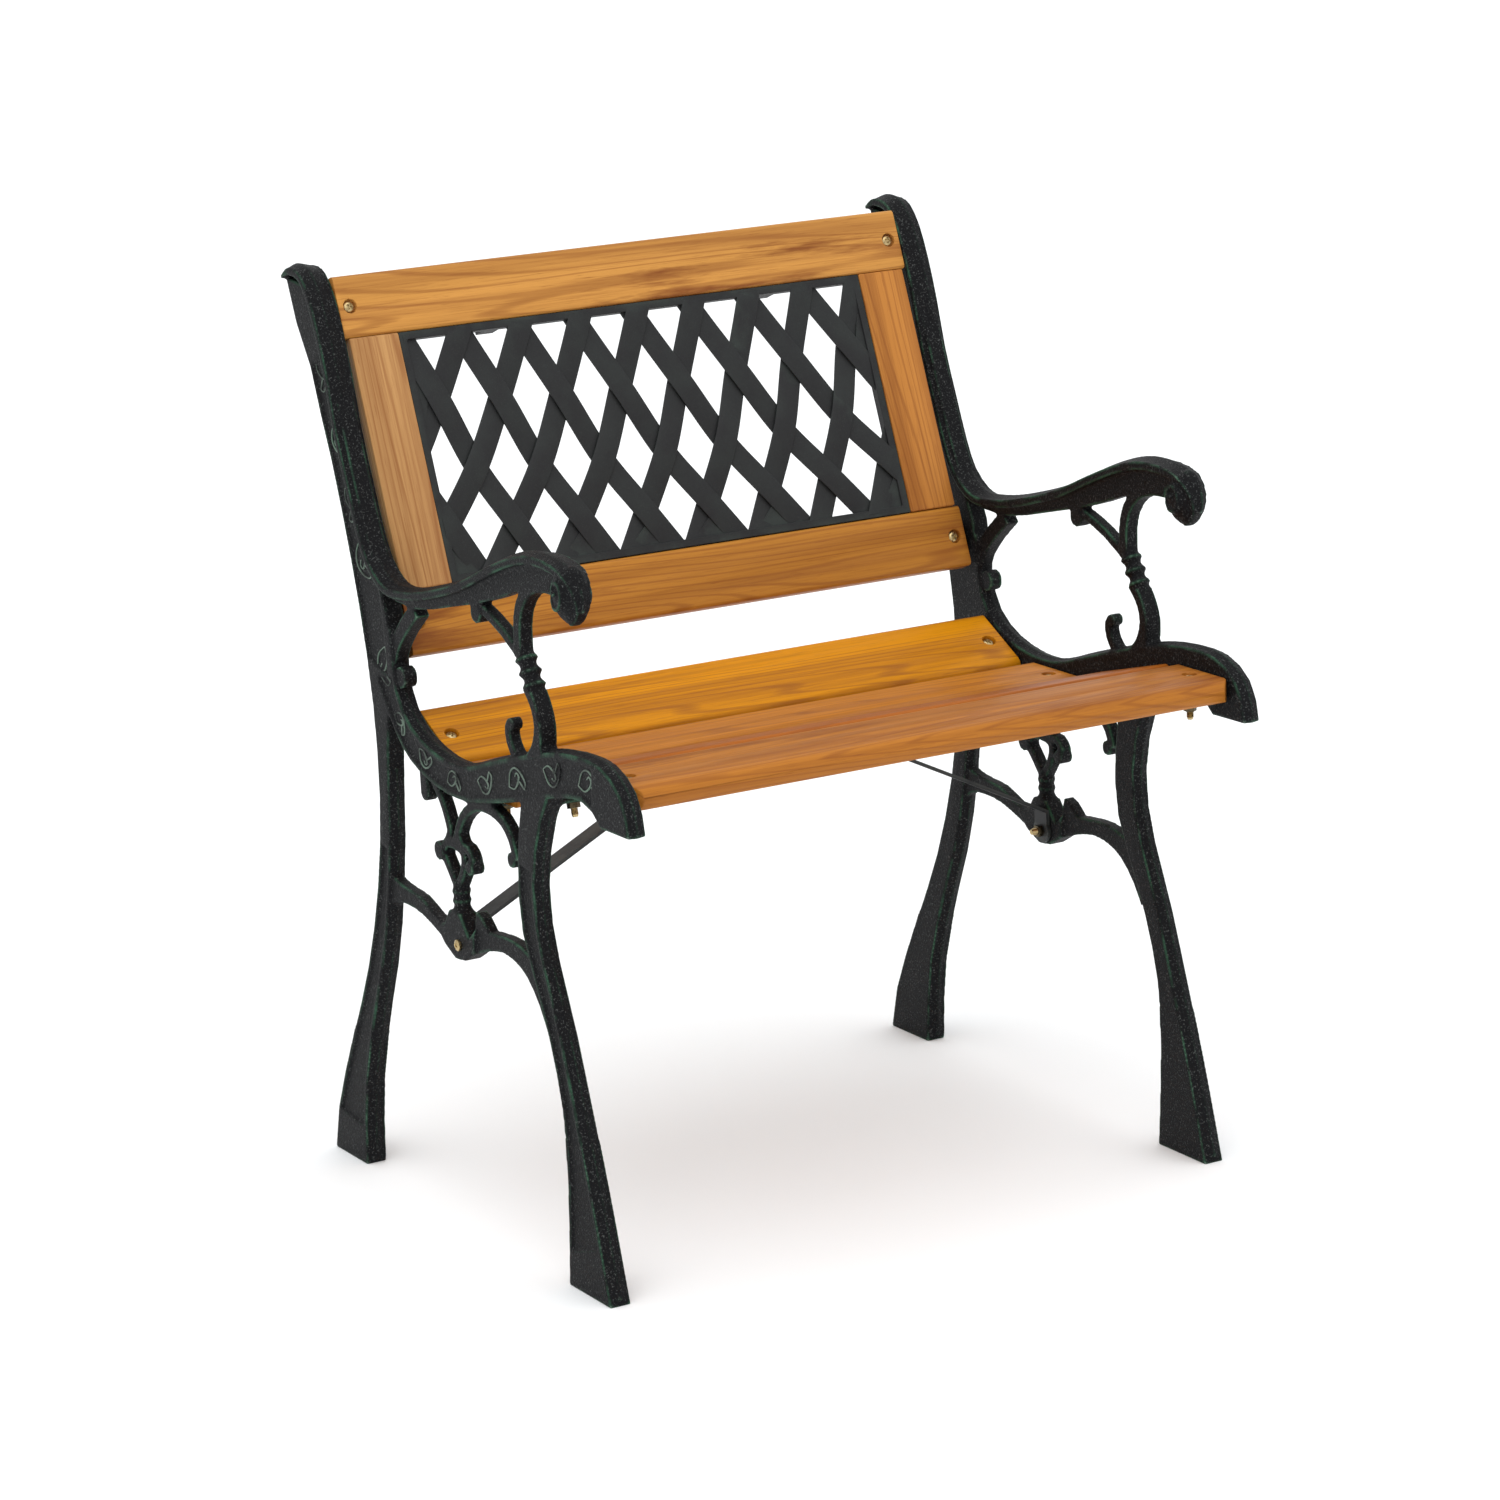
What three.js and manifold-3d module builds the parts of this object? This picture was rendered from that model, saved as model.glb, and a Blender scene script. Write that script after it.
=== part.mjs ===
// Garden bench: two cast end frames, four seat slats, a framed lattice back and two brace straps.
// Millimetres. X runs along the bench, the front faces -Y, Z points up and the feet stand on Z = 0.

import * as THREE from 'three';
import { mergeVertices } from 'three/addons/utils/BufferGeometryUtils.js';
import Module from 'manifold-3d';

const wasm = await Module();
wasm.setup();

// Overall sizes.
const bench_width = 584;
const bench_depth = 548;
const bench_height = 757;

// The frame outlines are drawn for this depth and height and stretched to the sizes above.
const drawn_depth = 548;
const drawn_height = 757;
const depth_scale = bench_depth / drawn_depth;
const height_scale = bench_height / drawn_height;

// End frame casting.
const flange_width = 24;
const flange_thickness = 7;
const band_width = 16;
const leg_waist_width = 15;
const foot_width = 18.5;
const scroll_width = 10;
const stem_width = 12;
const stem_foot_width = 15;
const relief_depth = 2;
const relief_rim = 4.5;
const cut_overshoot = 4;
const rim_end = 0.03;
const waist_height = 250;
const shoulder_height = 400;
const half_span = (bench_width - flange_width) / 2;
const frame_inner = half_span - band_width / 2;
const frame_outer = half_span + band_width / 2;

// Timber.
const timber_thickness = 20;
const timber_edge_radius = 3.5;
const end_gap = 0.5;
const part_gap = 0.3;
const seat_half_length = frame_inner - 1.5;
const back_half_length = half_span - flange_width / 2 - end_gap;
const front_corner_cut = 6;

// Seat slats from the back to the front: [depth, height] of the middle of the top face,
// width across the slat, the angle it tips back in degrees and the rounding of its front edges.
const seat_slats = [
  { name: 'seat_slat_rear', centre: [71.3, 396.7], width: 69, tip: 28, front_radius: 7 },
  { name: 'seat_slat_second', centre: [-19, 383.5], width: 92, tip: 0, front_radius: 5 },
  { name: 'seat_slat_third', centre: [-125, 405.5], width: 103, tip: -14, front_radius: 5 },
  { name: 'seat_slat_front', centre: [-222, 419.5], width: 74, tip: 0, front_radius: 8.5 },
];

// Back panel: foot and head of its front face, then the widths of its members.
const back_foot = [111, 455];
const back_head = [221.5, 750];
const top_rail_width = 52;
const bottom_rail_width = 52.5;
const stile_width = 44;
const stile_end_margin = 3.5;
const stile_inner_half = back_half_length - stile_end_margin - stile_width;
const tenon_length = 14;
const tenon_width = 26;
const tenon_thickness = 7;

// Lattice insert.
const lattice_setback = 1;
const lattice_sheet_step = 0.8;
const lattice_rim_width = 6;
const lattice_rim_thickness = 8;
const lattice_strip_thickness = 4;
const lattice_gap = 0.4;
const lattice_ear = 16;
const lattice_ear_thickness = 3;
const lattice_bow = 0.00029;
const lattice_hole_margin = 6;

// Rows of diamond holes from the top down: height above the bottom rail, pitch along the row,
// where the first hole sits as a share of the pitch, how far from the middle the row opens,
// and half sizes of a hole. The bottom row is solid but for one hole near each end.
const lattice_rows = [
  { height: 199.6, pitch: 54.5, shift: 0.5, open_from: 0, half_wide: 16.5, half_tall: 36 },
  { height: 140.6, pitch: 55.9, shift: 0, open_from: 0, half_wide: 16.8, half_tall: 34.3 },
  { height: 84, pitch: 58.2, shift: 0.5, open_from: 0, half_wide: 17.3, half_tall: 31 },
  { height: 34.5, pitch: 60.2, shift: 0, open_from: 0, half_wide: 17.8, half_tall: 28.2 },
  { height: -12, pitch: 62, shift: 0.5, open_from: 124, half_wide: 23, half_tall: 34 },
];
const lattice_row_reach = 5;
const lattice_drawn_height = 208.5;
const ear_x_share = 0.6;
const ear_x = stile_inner_half * ear_x_share;

// Fasteners.
const bolt_inset = 15;
const bolt_x = frame_inner - bolt_inset;
const bolt_radius = 3;
const bolt_clearance = 0.5;
const bolt_hole_radius = bolt_radius + bolt_clearance;
const bolt_head_lip = 1.6;
const bolt_head_radius = bolt_radius + bolt_head_lip;
const bolt_head_height = bolt_radius;
const counterbore_clearance = 1.6;
const counterbore_radius = bolt_head_radius + counterbore_clearance;
const bolt_head_sink = 1.5;
const counterbore_depth = bolt_head_height + bolt_head_sink;
const nut_wall = 2.4;
const nut_radius = bolt_radius + nut_wall;
const nut_height = 4.5;
const bolt_tail = 7;
const brace_bolt_tail = 5;
const round_sides = 10;

// Lugs cast on the inner face of a frame to carry the timber.
const lug_length = 27;
const lug_thickness = 5;
const lug_half_depth = 13;
const lug_root = 8;

// Brace straps.
const strap_width = 18;
const strap_disc_radius = 11;
const strap_thickness = 3;
const boss_bolt = [17, 238];
const strap_rise_start = 18;
const strap_top_inner = 24;
const strap_top_outer = 58;
const strap_screw_x = 40;
const strap_screw_radius = 2;
const strap_screw_length = 14;

const cast_iron = new THREE.MeshStandardMaterial({ color: 0x24282a, metalness: 0.4, roughness: 0.6 });
const timber = new THREE.MeshStandardMaterial({ color: 0xc8823c, metalness: 0, roughness: 0.5 });
const black_lattice = new THREE.MeshStandardMaterial({ color: 0x2b2c2d, metalness: 0.2, roughness: 0.6 });
const strap_steel = new THREE.MeshStandardMaterial({ color: 0x1d1e1f, metalness: 0.6, roughness: 0.5 });
const zinc_brass = new THREE.MeshStandardMaterial({ color: 0xd9c48c, metalness: 0.9, roughness: 0.3 });

const bench = new THREE.Group();
bench.name = 'garden_bench';

// ---------- shape helpers ----------

function place(point) {
  return new THREE.Vector2(point[0] * depth_scale, point[1] * height_scale);
}

// A smooth line through the given points.
function smooth(points, steps = 2) {
  const line = new THREE.SplineCurve(points.map(place));
  return line.getPoints((points.length - 1) * steps);
}

// The same line cut into equal lengths, so that two edges can be paired point by point.
function even(points, count) {
  const line = new THREE.SplineCurve(points.map(place));
  line.arcLengthDivisions = 400;
  return line.getSpacedPoints(count);
}

function to_solid(geometry) {
  const bare = geometry.clone();
  for (const key of Object.keys(bare.attributes)) {
    if (key !== 'position') bare.deleteAttribute(key);
  }
  const merged = mergeVertices(bare, 1e-4);
  const mesh = new wasm.Mesh({
    numProp: 3,
    vertProperties: new Float32Array(merged.attributes.position.array),
    triVerts: new Uint32Array(merged.index.array),
  });
  return new wasm.Manifold(mesh);
}

function to_geometry(solid) {
  const mesh = solid.getMesh();
  const geometry = new THREE.BufferGeometry();
  geometry.setAttribute('position', new THREE.BufferAttribute(new Float32Array(mesh.vertProperties), 3));
  geometry.setIndex(new THREE.BufferAttribute(new Uint32Array(mesh.triVerts), 1));
  return geometry;
}

// Push a [depth, height] outline along X.
function push_along_x(outline, x_from, x_to) {
  const shape = new THREE.Shape(outline);
  const geometry = new THREE.ExtrudeGeometry(shape, { depth: x_to - x_from, steps: 1, bevelEnabled: false });
  const turn = new THREE.Matrix4().makeBasis(
    new THREE.Vector3(0, 1, 0),
    new THREE.Vector3(0, 0, 1),
    new THREE.Vector3(1, 0, 0),
  );
  geometry.applyMatrix4(turn);
  geometry.translate(x_from, 0, 0);
  return geometry;
}

// A plate centred on the frame with the given outline and thickness along X.
function plate(outline, width) {
  return to_solid(push_along_x(outline, half_span - width / 2, half_span + width / 2));
}

// For every point of an edge, the closest point of the line drawn through other points.
function facing_edge(edge, points) {
  const dense = smooth(points, 16);
  return edge.map((point) => {
    let best = dense[0];
    for (const candidate of dense) {
      if (candidate.distanceTo(point) < best.distanceTo(point)) best = candidate;
    }
    return best;
  });
}

// Closed outline from two edges that run side by side.
function two_edge_outline(edge_a, edge_b) {
  return [...edge_a, ...edge_b.slice().reverse()];
}

// The sunk field between two facing edges, kept a rim clear of both edges and short of both ends.
function field_outline(edge, points, from, to) {
  const facing = facing_edge(edge, points);
  const first = Math.ceil(from * (edge.length - 1));
  const last = Math.floor(to * (edge.length - 1));
  const near = [];
  const far = [];
  for (let i = first; i <= last; i += 1) {
    const rim = facing[i].clone().sub(edge[i]).setLength(relief_rim);
    near.push(edge[i].clone().add(rim));
    far.push(facing[i].clone().sub(rim));
  }
  return two_edge_outline(near, far);
}

// A strip that follows a line; thickness may change along it, and it lies to one side or astride.
function ribbon_outline(line, thickness_at, astride) {
  const near = [];
  const far = [];
  const last = line.length - 1;
  for (let i = 0; i <= last; i += 1) {
    const ahead = line[Math.min(i + 1, last)];
    const behind = line[Math.max(i - 1, 0)];
    const along = ahead.clone().sub(behind).normalize();
    const side = new THREE.Vector2(-along.y, along.x);
    const thickness = thickness_at(i / last);
    const offset = astride ? thickness / 2 : 0;
    near.push(line[i].clone().addScaledVector(side, -offset));
    far.push(line[i].clone().addScaledVector(side, thickness - offset));
  }
  return two_edge_outline(near, far);
}

function limb(points, thickness, width, steps = 2) {
  return plate(ribbon_outline(smooth(points, steps), () => thickness, true), width);
}

// A round boss whose axis runs along X.
function knob(centre, radius, width, sides = round_sides) {
  const at = place(centre);
  const rod = new THREE.CylinderGeometry(radius, radius, width, sides);
  rod.rotateZ(Math.PI / 2);
  rod.translate(half_span, at.x, at.y);
  return to_solid(rod);
}

function bulb_solid() {
  const at = place(scroll_bulb.centre);
  const ball = new THREE.SphereGeometry(1, 20, 14);
  ball.scale(flange_width / 2, scroll_bulb.half_depth, scroll_bulb.half_height);
  ball.translate(half_span, at.x, at.y);
  return to_solid(ball);
}

// A turned baluster standing between two [depth, height] points.
function baluster(foot, head, profile) {
  const low = place(foot);
  const high = place(head);
  const length = low.distanceTo(high);
  const points = [new THREE.Vector2(0, 0)];
  for (const [share, radius] of profile) points.push(new THREE.Vector2(radius, share * length));
  points.push(new THREE.Vector2(0, length));
  const turned = new THREE.LatheGeometry(points, 10);
  turned.rotateX(Math.PI / 2);
  turned.rotateX(-Math.atan2(high.x - low.x, high.y - low.y));
  turned.translate(half_span, low.x, low.y);
  return to_solid(turned);
}

// Rods and discs: radius, start and end along the given axis direction.
function rod_between(start, end, radius, sides = round_sides) {
  const along = end.clone().sub(start);
  const rod = new THREE.CylinderGeometry(radius, radius, along.length(), sides);
  rod.translate(0, along.length() / 2, 0);
  const turn = new THREE.Quaternion().setFromUnitVectors(
    new THREE.Vector3(0, 1, 0),
    along.clone().normalize(),
  );
  rod.applyQuaternion(turn);
  rod.translate(start.x, start.y, start.z);
  return to_solid(rod);
}

function box_solid(size, matrix) {
  const geometry = new THREE.BoxGeometry(size.x, size.y, size.z);
  geometry.applyMatrix4(matrix);
  return to_solid(geometry);
}

function add_mesh(name, geometry, material) {
  const mesh = new THREE.Mesh(geometry, material);
  mesh.name = name;
  bench.add(mesh);
}

function mirror_geometry(geometry) {
  const other = geometry.clone();
  other.applyMatrix4(new THREE.Matrix4().makeScale(-1, 1, 1));
  const index = other.index.array;
  for (let i = 0; i < index.length; i += 3) {
    const keep = index[i];
    index[i] = index[i + 1];
    index[i + 1] = keep;
  }
  return other;
}

// ---------- local frames of the timber ----------

// Each frame has an origin, a direction "across" the member and the outward normal of its show face.
function slat_frame(slat) {
  const at = place(slat.centre);
  const tip = THREE.MathUtils.degToRad(slat.tip);
  return {
    origin: new THREE.Vector3(0, at.x, at.y),
    across: new THREE.Vector3(0, Math.cos(tip), Math.sin(tip)),
    normal: new THREE.Vector3(0, -Math.sin(tip), Math.cos(tip)),
  };
}

const back_low = place(back_foot);
const back_high = place(back_head);
const back_height = back_low.distanceTo(back_high);
const back_up = new THREE.Vector3(0, back_high.x - back_low.x, back_high.y - back_low.y).normalize();
const back_normal = new THREE.Vector3(0, -back_up.z, back_up.y);
const opening_height = back_height - top_rail_width - bottom_rail_width;

function back_frame(up_the_back) {
  return {
    origin: new THREE.Vector3(0, back_low.x, back_low.y).addScaledVector(back_up, up_the_back),
    across: back_up.clone(),
    normal: back_normal.clone(),
  };
}

function frame_matrix(frame, x, across, out) {
  const matrix = new THREE.Matrix4().makeBasis(new THREE.Vector3(1, 0, 0), frame.across, frame.normal);
  const at = frame_point(frame, x, across, out);
  matrix.setPosition(at);
  return matrix;
}

function frame_point(frame, x, across, out) {
  return frame.origin.clone()
    .add(new THREE.Vector3(x, 0, 0))
    .addScaledVector(frame.across, across)
    .addScaledVector(frame.normal, out);
}

// ---------- end frames ----------

const post_front = [
  [220, 742], [203, 700], [182, 650], [162, 595], [143, 548], [122, 508], [110, 465], [122, 410],
  [130, 360], [133, 310], [143, 250], [158, 196], [180, 144], [200, 92], [209, 50], [213, 0],
];
const post_rear = [
  [267, 747], [256, 716], [236, 690], [223, 655], [200, 600], [184, 552], [168, 497], [154, 432],
  [149, 380], [149, 340], [155, 290], [170, 232], [193, 174], [222, 120], [250, 68], [268, 28], [274, 0],
];
const rail_top = [
  [111, 480], [108, 440], [98, 417], [76, 401], [46, 391.5], [14, 388], [-16, 391], [-60, 404.5],
  [-110, 418.5], [-160, 430.5], [-200, 435], [-232, 433.5], [-256, 423], [-269, 407], [-274, 385.5],
];
const rail_bottom = [
  [163, 480], [150, 448], [128, 414], [101, 384], [70, 369], [30, 361], [-10, 361], [-60, 370],
  [-115, 383], [-165, 395.5], [-200, 400], [-220, 394.5], [-231, 385],
];
const arm_web_top = [
  [152, 534], [128, 514], [100, 510.5], [80, 512], [40, 516], [0, 528], [-45, 545],
  [-85, 560], [-120, 570], [-155, 574], [-180, 570],
];
const arm_web_bottom = [
  [148, 522], [126, 507], [100, 504], [74, 502.5], [40, 507], [0, 516], [-40, 525], [-80, 536], [-110, 546],
  [-140, 555], [-170, 560],
];
const flange_line = [
  [269, 748], [258, 755.5], [244, 756.5], [230, 751.5], [216, 735], [203, 707], [191, 672], [180, 632],
  [165, 593], [150, 556], [137, 533], [118, 518.5], [98, 514.5], [60, 518.5], [20, 527.5],
  [-20, 539], [-60, 555], [-100, 570], [-135, 579], [-166, 580], [-192, 574.5], [-206.5, 560],
  [-206.5, 545], [-194, 533], [-182, 538], [-182, 549], [-190, 552],
];
const front_leg_rear = [
  [-104, 385], [-95, 350], [-90, 310], [-94, 272], [-109, 239], [-130, 195], [-145, 148],
  [-150, 105], [-149, 55], [-145, 0],
];
const front_leg_front = [
  [-150, 396], [-130, 364], [-118, 326], [-117, 292], [-128, 252], [-147, 208], [-164, 158],
  [-179, 112], [-195, 60], [-212, 0],
];
const rear_stretcher_top = [[150, 280], [138, 268], [118, 263.5], [90, 261], [65, 252], [47, 248]];
const rear_stretcher_bottom = [[150, 236], [136, 246], [115, 249], [88, 246.5], [60, 238], [38, 229.5]];
const front_stretcher_top = [[-6, 256], [-30, 258.5], [-60, 261], [-85, 259], [-112, 250]];
const front_stretcher_bottom = [
  [-5, 234.5], [-25, 241.5], [-50, 246.5], [-72, 244.5], [-92, 236], [-110, 218], [-122, 198],
];
const boss_outline = [
  [58, 246], [44, 233], [26, 224.5], [10, 226], [-8, 236], [-10, 256], [0, 247], [6, 254],
  [14, 264], [33, 264], [42, 251],
];
const horn_outline = [[-6, 240], [-7, 262], [-10, 271], [-19, 267.5], [-28, 260], [-32, 250]];
const stem_rear = [[-110, 416], [-123, 427], [-129, 438], [-130, 450], [-124, 462], [-116, 470]];
const stem_front = [[-143, 420], [-140, 430], [-141, 445], [-136, 460], [-128, 472]];

// Limbs: centre line, thickness across the line, width along X.
const limbs = [
  { line: [[68, 502], [92, 483], [108, 466], [116, 450]], thickness: 14, width: stem_width },
  { line: [[-107, 495], [-107, 515], [-112, 534], [-127, 550], [-148, 557], [-168, 558]],
    thickness: 11, width: stem_width },
  { line: [[-112, 492], [-80, 510], [-50, 521], [-38, 522]], thickness: 8, width: scroll_width },
  { line: [[-102, 408], [-90, 414], [-82, 424], [-81, 434], [-86, 439]],
    thickness: 9, width: scroll_width },
  { line: [[22, 282], [34, 296], [46, 309]], thickness: 8, width: scroll_width },
  { line: [[24, 282], [12, 297], [8, 312], [16, 328]], thickness: 8, width: scroll_width },
  { line: [[12, 320], [1, 319], [-6, 312], [-4, 304]], thickness: 7, width: scroll_width },
  { line: [[58, 368], [43, 353], [34, 338], [31, 326], [42, 313]], thickness: 8, width: scroll_width },
  { line: [[40, 317], [26, 319], [12, 317]], thickness: 8, width: scroll_width },
  { line: [[22, 320], [12, 338], [0, 350], [-18, 359], [-40, 361], [-62, 356], [-76, 344], [-83, 328]],
    thickness: 9, width: scroll_width },
  { line: [[72, 372], [71, 353]], thickness: 13, width: scroll_width },
];

// Knobs: centre, radius, width along X.
const knobs = [
  { centre: [101, 441], radius: 9, width: stem_width },
  { centre: [-39, 518], radius: 8.5, width: stem_width },
  { centre: [-86, 438], radius: 5, width: scroll_width },
  { centre: [49, 309], radius: 8, width: stem_width },
  { centre: [-3, 305], radius: 6, width: stem_width },
  { centre: [71, 352], radius: 7, width: scroll_width },
  { centre: [-75, 327], radius: 6.5, width: scroll_width },
];

// The arm scroll ends in a rounded bulb: centre, then half depth and half height.
const scroll_bulb = { centre: [-193, 556], half_depth: 14, half_height: 23 };

// The rim of the arm narrows as it curls round the bulb.
const scroll_taper = { depth: -170, top: 574, end: 540, end_share: 0.35 };

const arm_baluster_profile = [
  [0, 6.5], [0.14, 6.5], [0.24, 9.8], [0.34, 6.8], [0.42, 6.8], [0.52, 9.8], [0.62, 6.8],
  [0.7, 6.8], [0.8, 9.6], [0.9, 6.4], [1, 6.4],
];

// The rings of the low baluster end level with the faces of the band, because the strap passes
// them. Each radius here is a share of the ring's.
const low_ring_radius = band_width / 2;
const low_baluster_profile = [
  [0, 0.9], [0.1, 1], [0.22, 0.81], [0.33, 1], [0.44, 0.81], [0.55, 1], [0.66, 0.81],
  [0.78, 1], [0.9, 0.81], [1, 0.8],
].map(([share, size]) => [share, size * low_ring_radius]);

// Width along X of the legs: narrow at the waist, wider at the shoulder and at the foot.
function leg_width_at(height) {
  const waist = waist_height * height_scale;
  const shoulder = shoulder_height * height_scale;
  if (height >= shoulder) return band_width;
  if (height >= waist) {
    const share = (height - waist) / (shoulder - waist);
    return leg_waist_width + (band_width - leg_waist_width) * share;
  }
  return foot_width + (leg_waist_width - foot_width) * (height / waist);
}

function tapered_plate(outline) {
  const geometry = push_along_x(outline, -0.5, 0.5);
  const at = geometry.attributes.position;
  for (let i = 0; i < at.count; i += 1) {
    at.setX(i, half_span + at.getX(i) * leg_width_at(at.getZ(i)));
  }
  return to_solid(geometry);
}

// Width of the arm's rim as a share of its full width.
function rim_share_at(depth, height) {
  if (depth > scroll_taper.depth * depth_scale) return 1;
  const top = scroll_taper.top * height_scale;
  const end = scroll_taper.end * height_scale;
  const fall = THREE.MathUtils.clamp((top - height) / (top - end), 0, 1);
  return 1 + (scroll_taper.end_share - 1) * fall;
}

function rim_plate(outline) {
  const geometry = push_along_x(outline, -0.5, 0.5);
  const at = geometry.attributes.position;
  for (let i = 0; i < at.count; i += 1) {
    const width = flange_width * rim_share_at(at.getY(i), at.getZ(i));
    at.setX(i, half_span + at.getX(i) * width);
  }
  return to_solid(geometry);
}

// A shallow cut into the outer face of a tapered leg.
function tapered_field(outline) {
  const geometry = push_along_x(outline, 0, 1);
  const at = geometry.attributes.position;
  for (let i = 0; i < at.count; i += 1) {
    const face = half_span + leg_width_at(at.getZ(i)) / 2;
    at.setX(i, at.getX(i) > 0.5 ? face + cut_overshoot : face - relief_depth);
  }
  return to_solid(geometry);
}

function flange_thickness_at(share) {
  const tip_share = 0.06;
  const tip_thickness = 2.5;
  if (share >= tip_share) return flange_thickness;
  return tip_thickness + (flange_thickness - tip_thickness) * (share / tip_share);
}

function lug_at(frame) {
  const size = new THREE.Vector3(lug_length + lug_root, lug_half_depth * 2, lug_thickness);
  const x = frame_inner + lug_root - size.x / 2;
  const out = -timber_thickness - part_gap - lug_thickness / 2;
  return box_solid(size, frame_matrix(frame, x, 0, out));
}

function through_hole(frame) {
  const start = frame_point(frame, bolt_x, 0, -timber_thickness * 3);
  const end = frame_point(frame, bolt_x, 0, 5);
  return rod_between(start, end, bolt_hole_radius);
}

const top_rail_frame = back_frame(back_height - top_rail_width / 2);
const bottom_rail_frame = back_frame(bottom_rail_width / 2);
const opening_frame = back_frame(bottom_rail_width + opening_height / 2);
const bolted_frames = [...seat_slats.map(slat_frame), top_rail_frame, bottom_rail_frame];

function end_frame_geometry() {
  const edge_steps = 20;
  const rail_steps = 28;
  const post_a = even(post_front, edge_steps);
  const post_b = even(post_rear, edge_steps);
  const rail_a = even(rail_top, rail_steps);
  const rail_b = even(rail_bottom, rail_steps);
  const leg_a = even(front_leg_front, 14);
  const leg_b = even(front_leg_rear, 14);
  const arm_a = even(arm_web_top, 14);
  const arm_b = even(arm_web_bottom, 14);
  const flange = smooth(flange_line, 2);
  let casting = tapered_plate(two_edge_outline(post_b, post_a));
  const joined = [
    plate(two_edge_outline(rail_b, rail_a), band_width),
    tapered_plate(two_edge_outline(leg_b, leg_a)),
    plate(two_edge_outline(arm_b, arm_a), stem_width),
    rim_plate(ribbon_outline(flange, flange_thickness_at, false)),
    plate([...smooth(rear_stretcher_bottom), ...smooth(rear_stretcher_top).reverse()], scroll_width),
    plate([...smooth(front_stretcher_top), ...smooth(front_stretcher_bottom).reverse()], scroll_width),
    plate(boss_outline.map(place), band_width),
    plate(horn_outline.map(place), scroll_width),
    plate([...smooth(stem_rear), ...smooth(stem_front).reverse()], stem_foot_width),
    baluster([-126, 466], [-107, 500], arm_baluster_profile),
    baluster([23, 254], [23, 288], low_baluster_profile),
    ...limbs.map((piece) => limb(piece.line, piece.thickness, piece.width)),
    bulb_solid(),
    ...knobs.map((piece) => knob(piece.centre, piece.radius, piece.width)),
    ...bolted_frames.map(lug_at),
  ];
  for (const piece of joined) casting = casting.add(piece);

  const face_cut = (outline) => to_solid(push_along_x(outline, frame_outer - relief_depth, frame_outer + 1));
  const cuts = [
    tapered_field(field_outline(post_b, post_front, 0.6, 1 - rim_end)),
    tapered_field(field_outline(leg_b, front_leg_front, 0.12, 1 - rim_end)),
    face_cut(field_outline(post_b, post_front, 0.08, 0.42)),
    face_cut(field_outline(rail_b, rail_top, 0.1, 1 - rim_end)),
    ...bolted_frames.map(through_hole),
    boss_hole(),
  ];
  for (const cut of cuts) casting = casting.subtract(cut);
  return to_geometry(casting);
}

function boss_hole() {
  const at = place(boss_bolt);
  const start = new THREE.Vector3(frame_inner - 20, at.x, at.y);
  const end = new THREE.Vector3(frame_outer + 20, at.x, at.y);
  return rod_between(start, end, bolt_hole_radius);
}

const right_frame = end_frame_geometry();
add_mesh('end_frame_right', right_frame, cast_iron);
add_mesh('end_frame_left', mirror_geometry(right_frame), cast_iron);

// ---------- timber members ----------

// Rounded rectangle cross-section, flat in the member's own [across, out] directions.
function timber_section(width, near_radius, far_radius) {
  const half = width / 2;
  const corners = [
    { across: -half, out: -timber_thickness, radius: near_radius, turn: Math.PI },
    { across: half, out: -timber_thickness, radius: far_radius, turn: 1.5 * Math.PI },
    { across: half, out: 0, radius: far_radius, turn: 0 },
    { across: -half, out: 0, radius: near_radius, turn: 0.5 * Math.PI },
  ];
  const points = [];
  const steps = 3;
  for (const corner of corners) {
    const centre_across = corner.across - Math.sign(corner.across) * corner.radius;
    const centre_out = corner.out + (corner.out === 0 ? -corner.radius : corner.radius);
    for (let i = 0; i <= steps; i += 1) {
      const angle = corner.turn + (i / steps) * Math.PI / 2;
      points.push(new THREE.Vector2(
        centre_across + Math.cos(angle) * corner.radius,
        centre_out + Math.sin(angle) * corner.radius,
      ));
    }
  }
  return points;
}

function timber_member(frame, width, half_length, near_radius, far_radius) {
  const geometry = push_along_x(timber_section(width, near_radius, far_radius), -half_length, half_length);
  geometry.applyMatrix4(frame_matrix(frame, 0, 0, 0));
  return to_solid(geometry);
}

function drill_for_bolts(solid, frame) {
  let drilled = solid;
  for (const side of [-1, 1]) {
    const x = side * bolt_x;
    const under = frame_point(frame, x, 0, -timber_thickness - 5);
    const top = frame_point(frame, x, 0, 5);
    const shelf = frame_point(frame, x, 0, -counterbore_depth);
    drilled = drilled.subtract(rod_between(under, top, bolt_hole_radius));
    drilled = drilled.subtract(rod_between(shelf, top, counterbore_radius));
  }
  return drilled;
}

// Slices the two front corners off a slat, seen from above.
function cut_front_corners(solid, frame, width) {
  let trimmed = solid;
  for (const side of [-1, 1]) {
    const size = new THREE.Vector3(front_corner_cut * 2, front_corner_cut * 2, timber_thickness * 3);
    const matrix = frame_matrix(frame, side * seat_half_length, -width / 2, 0);
    matrix.multiply(new THREE.Matrix4().makeRotationZ(side * Math.PI / 4));
    const reach = front_corner_cut * (1 - Math.SQRT1_2);
    matrix.multiply(new THREE.Matrix4().makeTranslation(side * reach, -reach, 0));
    trimmed = trimmed.subtract(box_solid(size, matrix));
  }
  return trimmed;
}

function strap_screw_hole(side) {
  const slat = slat_frame(seat_slats[1]);
  const under = frame_point(slat, side * strap_screw_x, 0, -timber_thickness - 5);
  const depth = strap_screw_length - strap_thickness + 1;
  const end = frame_point(slat, side * strap_screw_x, 0, -timber_thickness + depth);
  under.y = boss_bolt[0] * depth_scale;
  end.y = under.y;
  return rod_between(under, end, strap_screw_radius + part_gap, 8);
}

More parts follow.
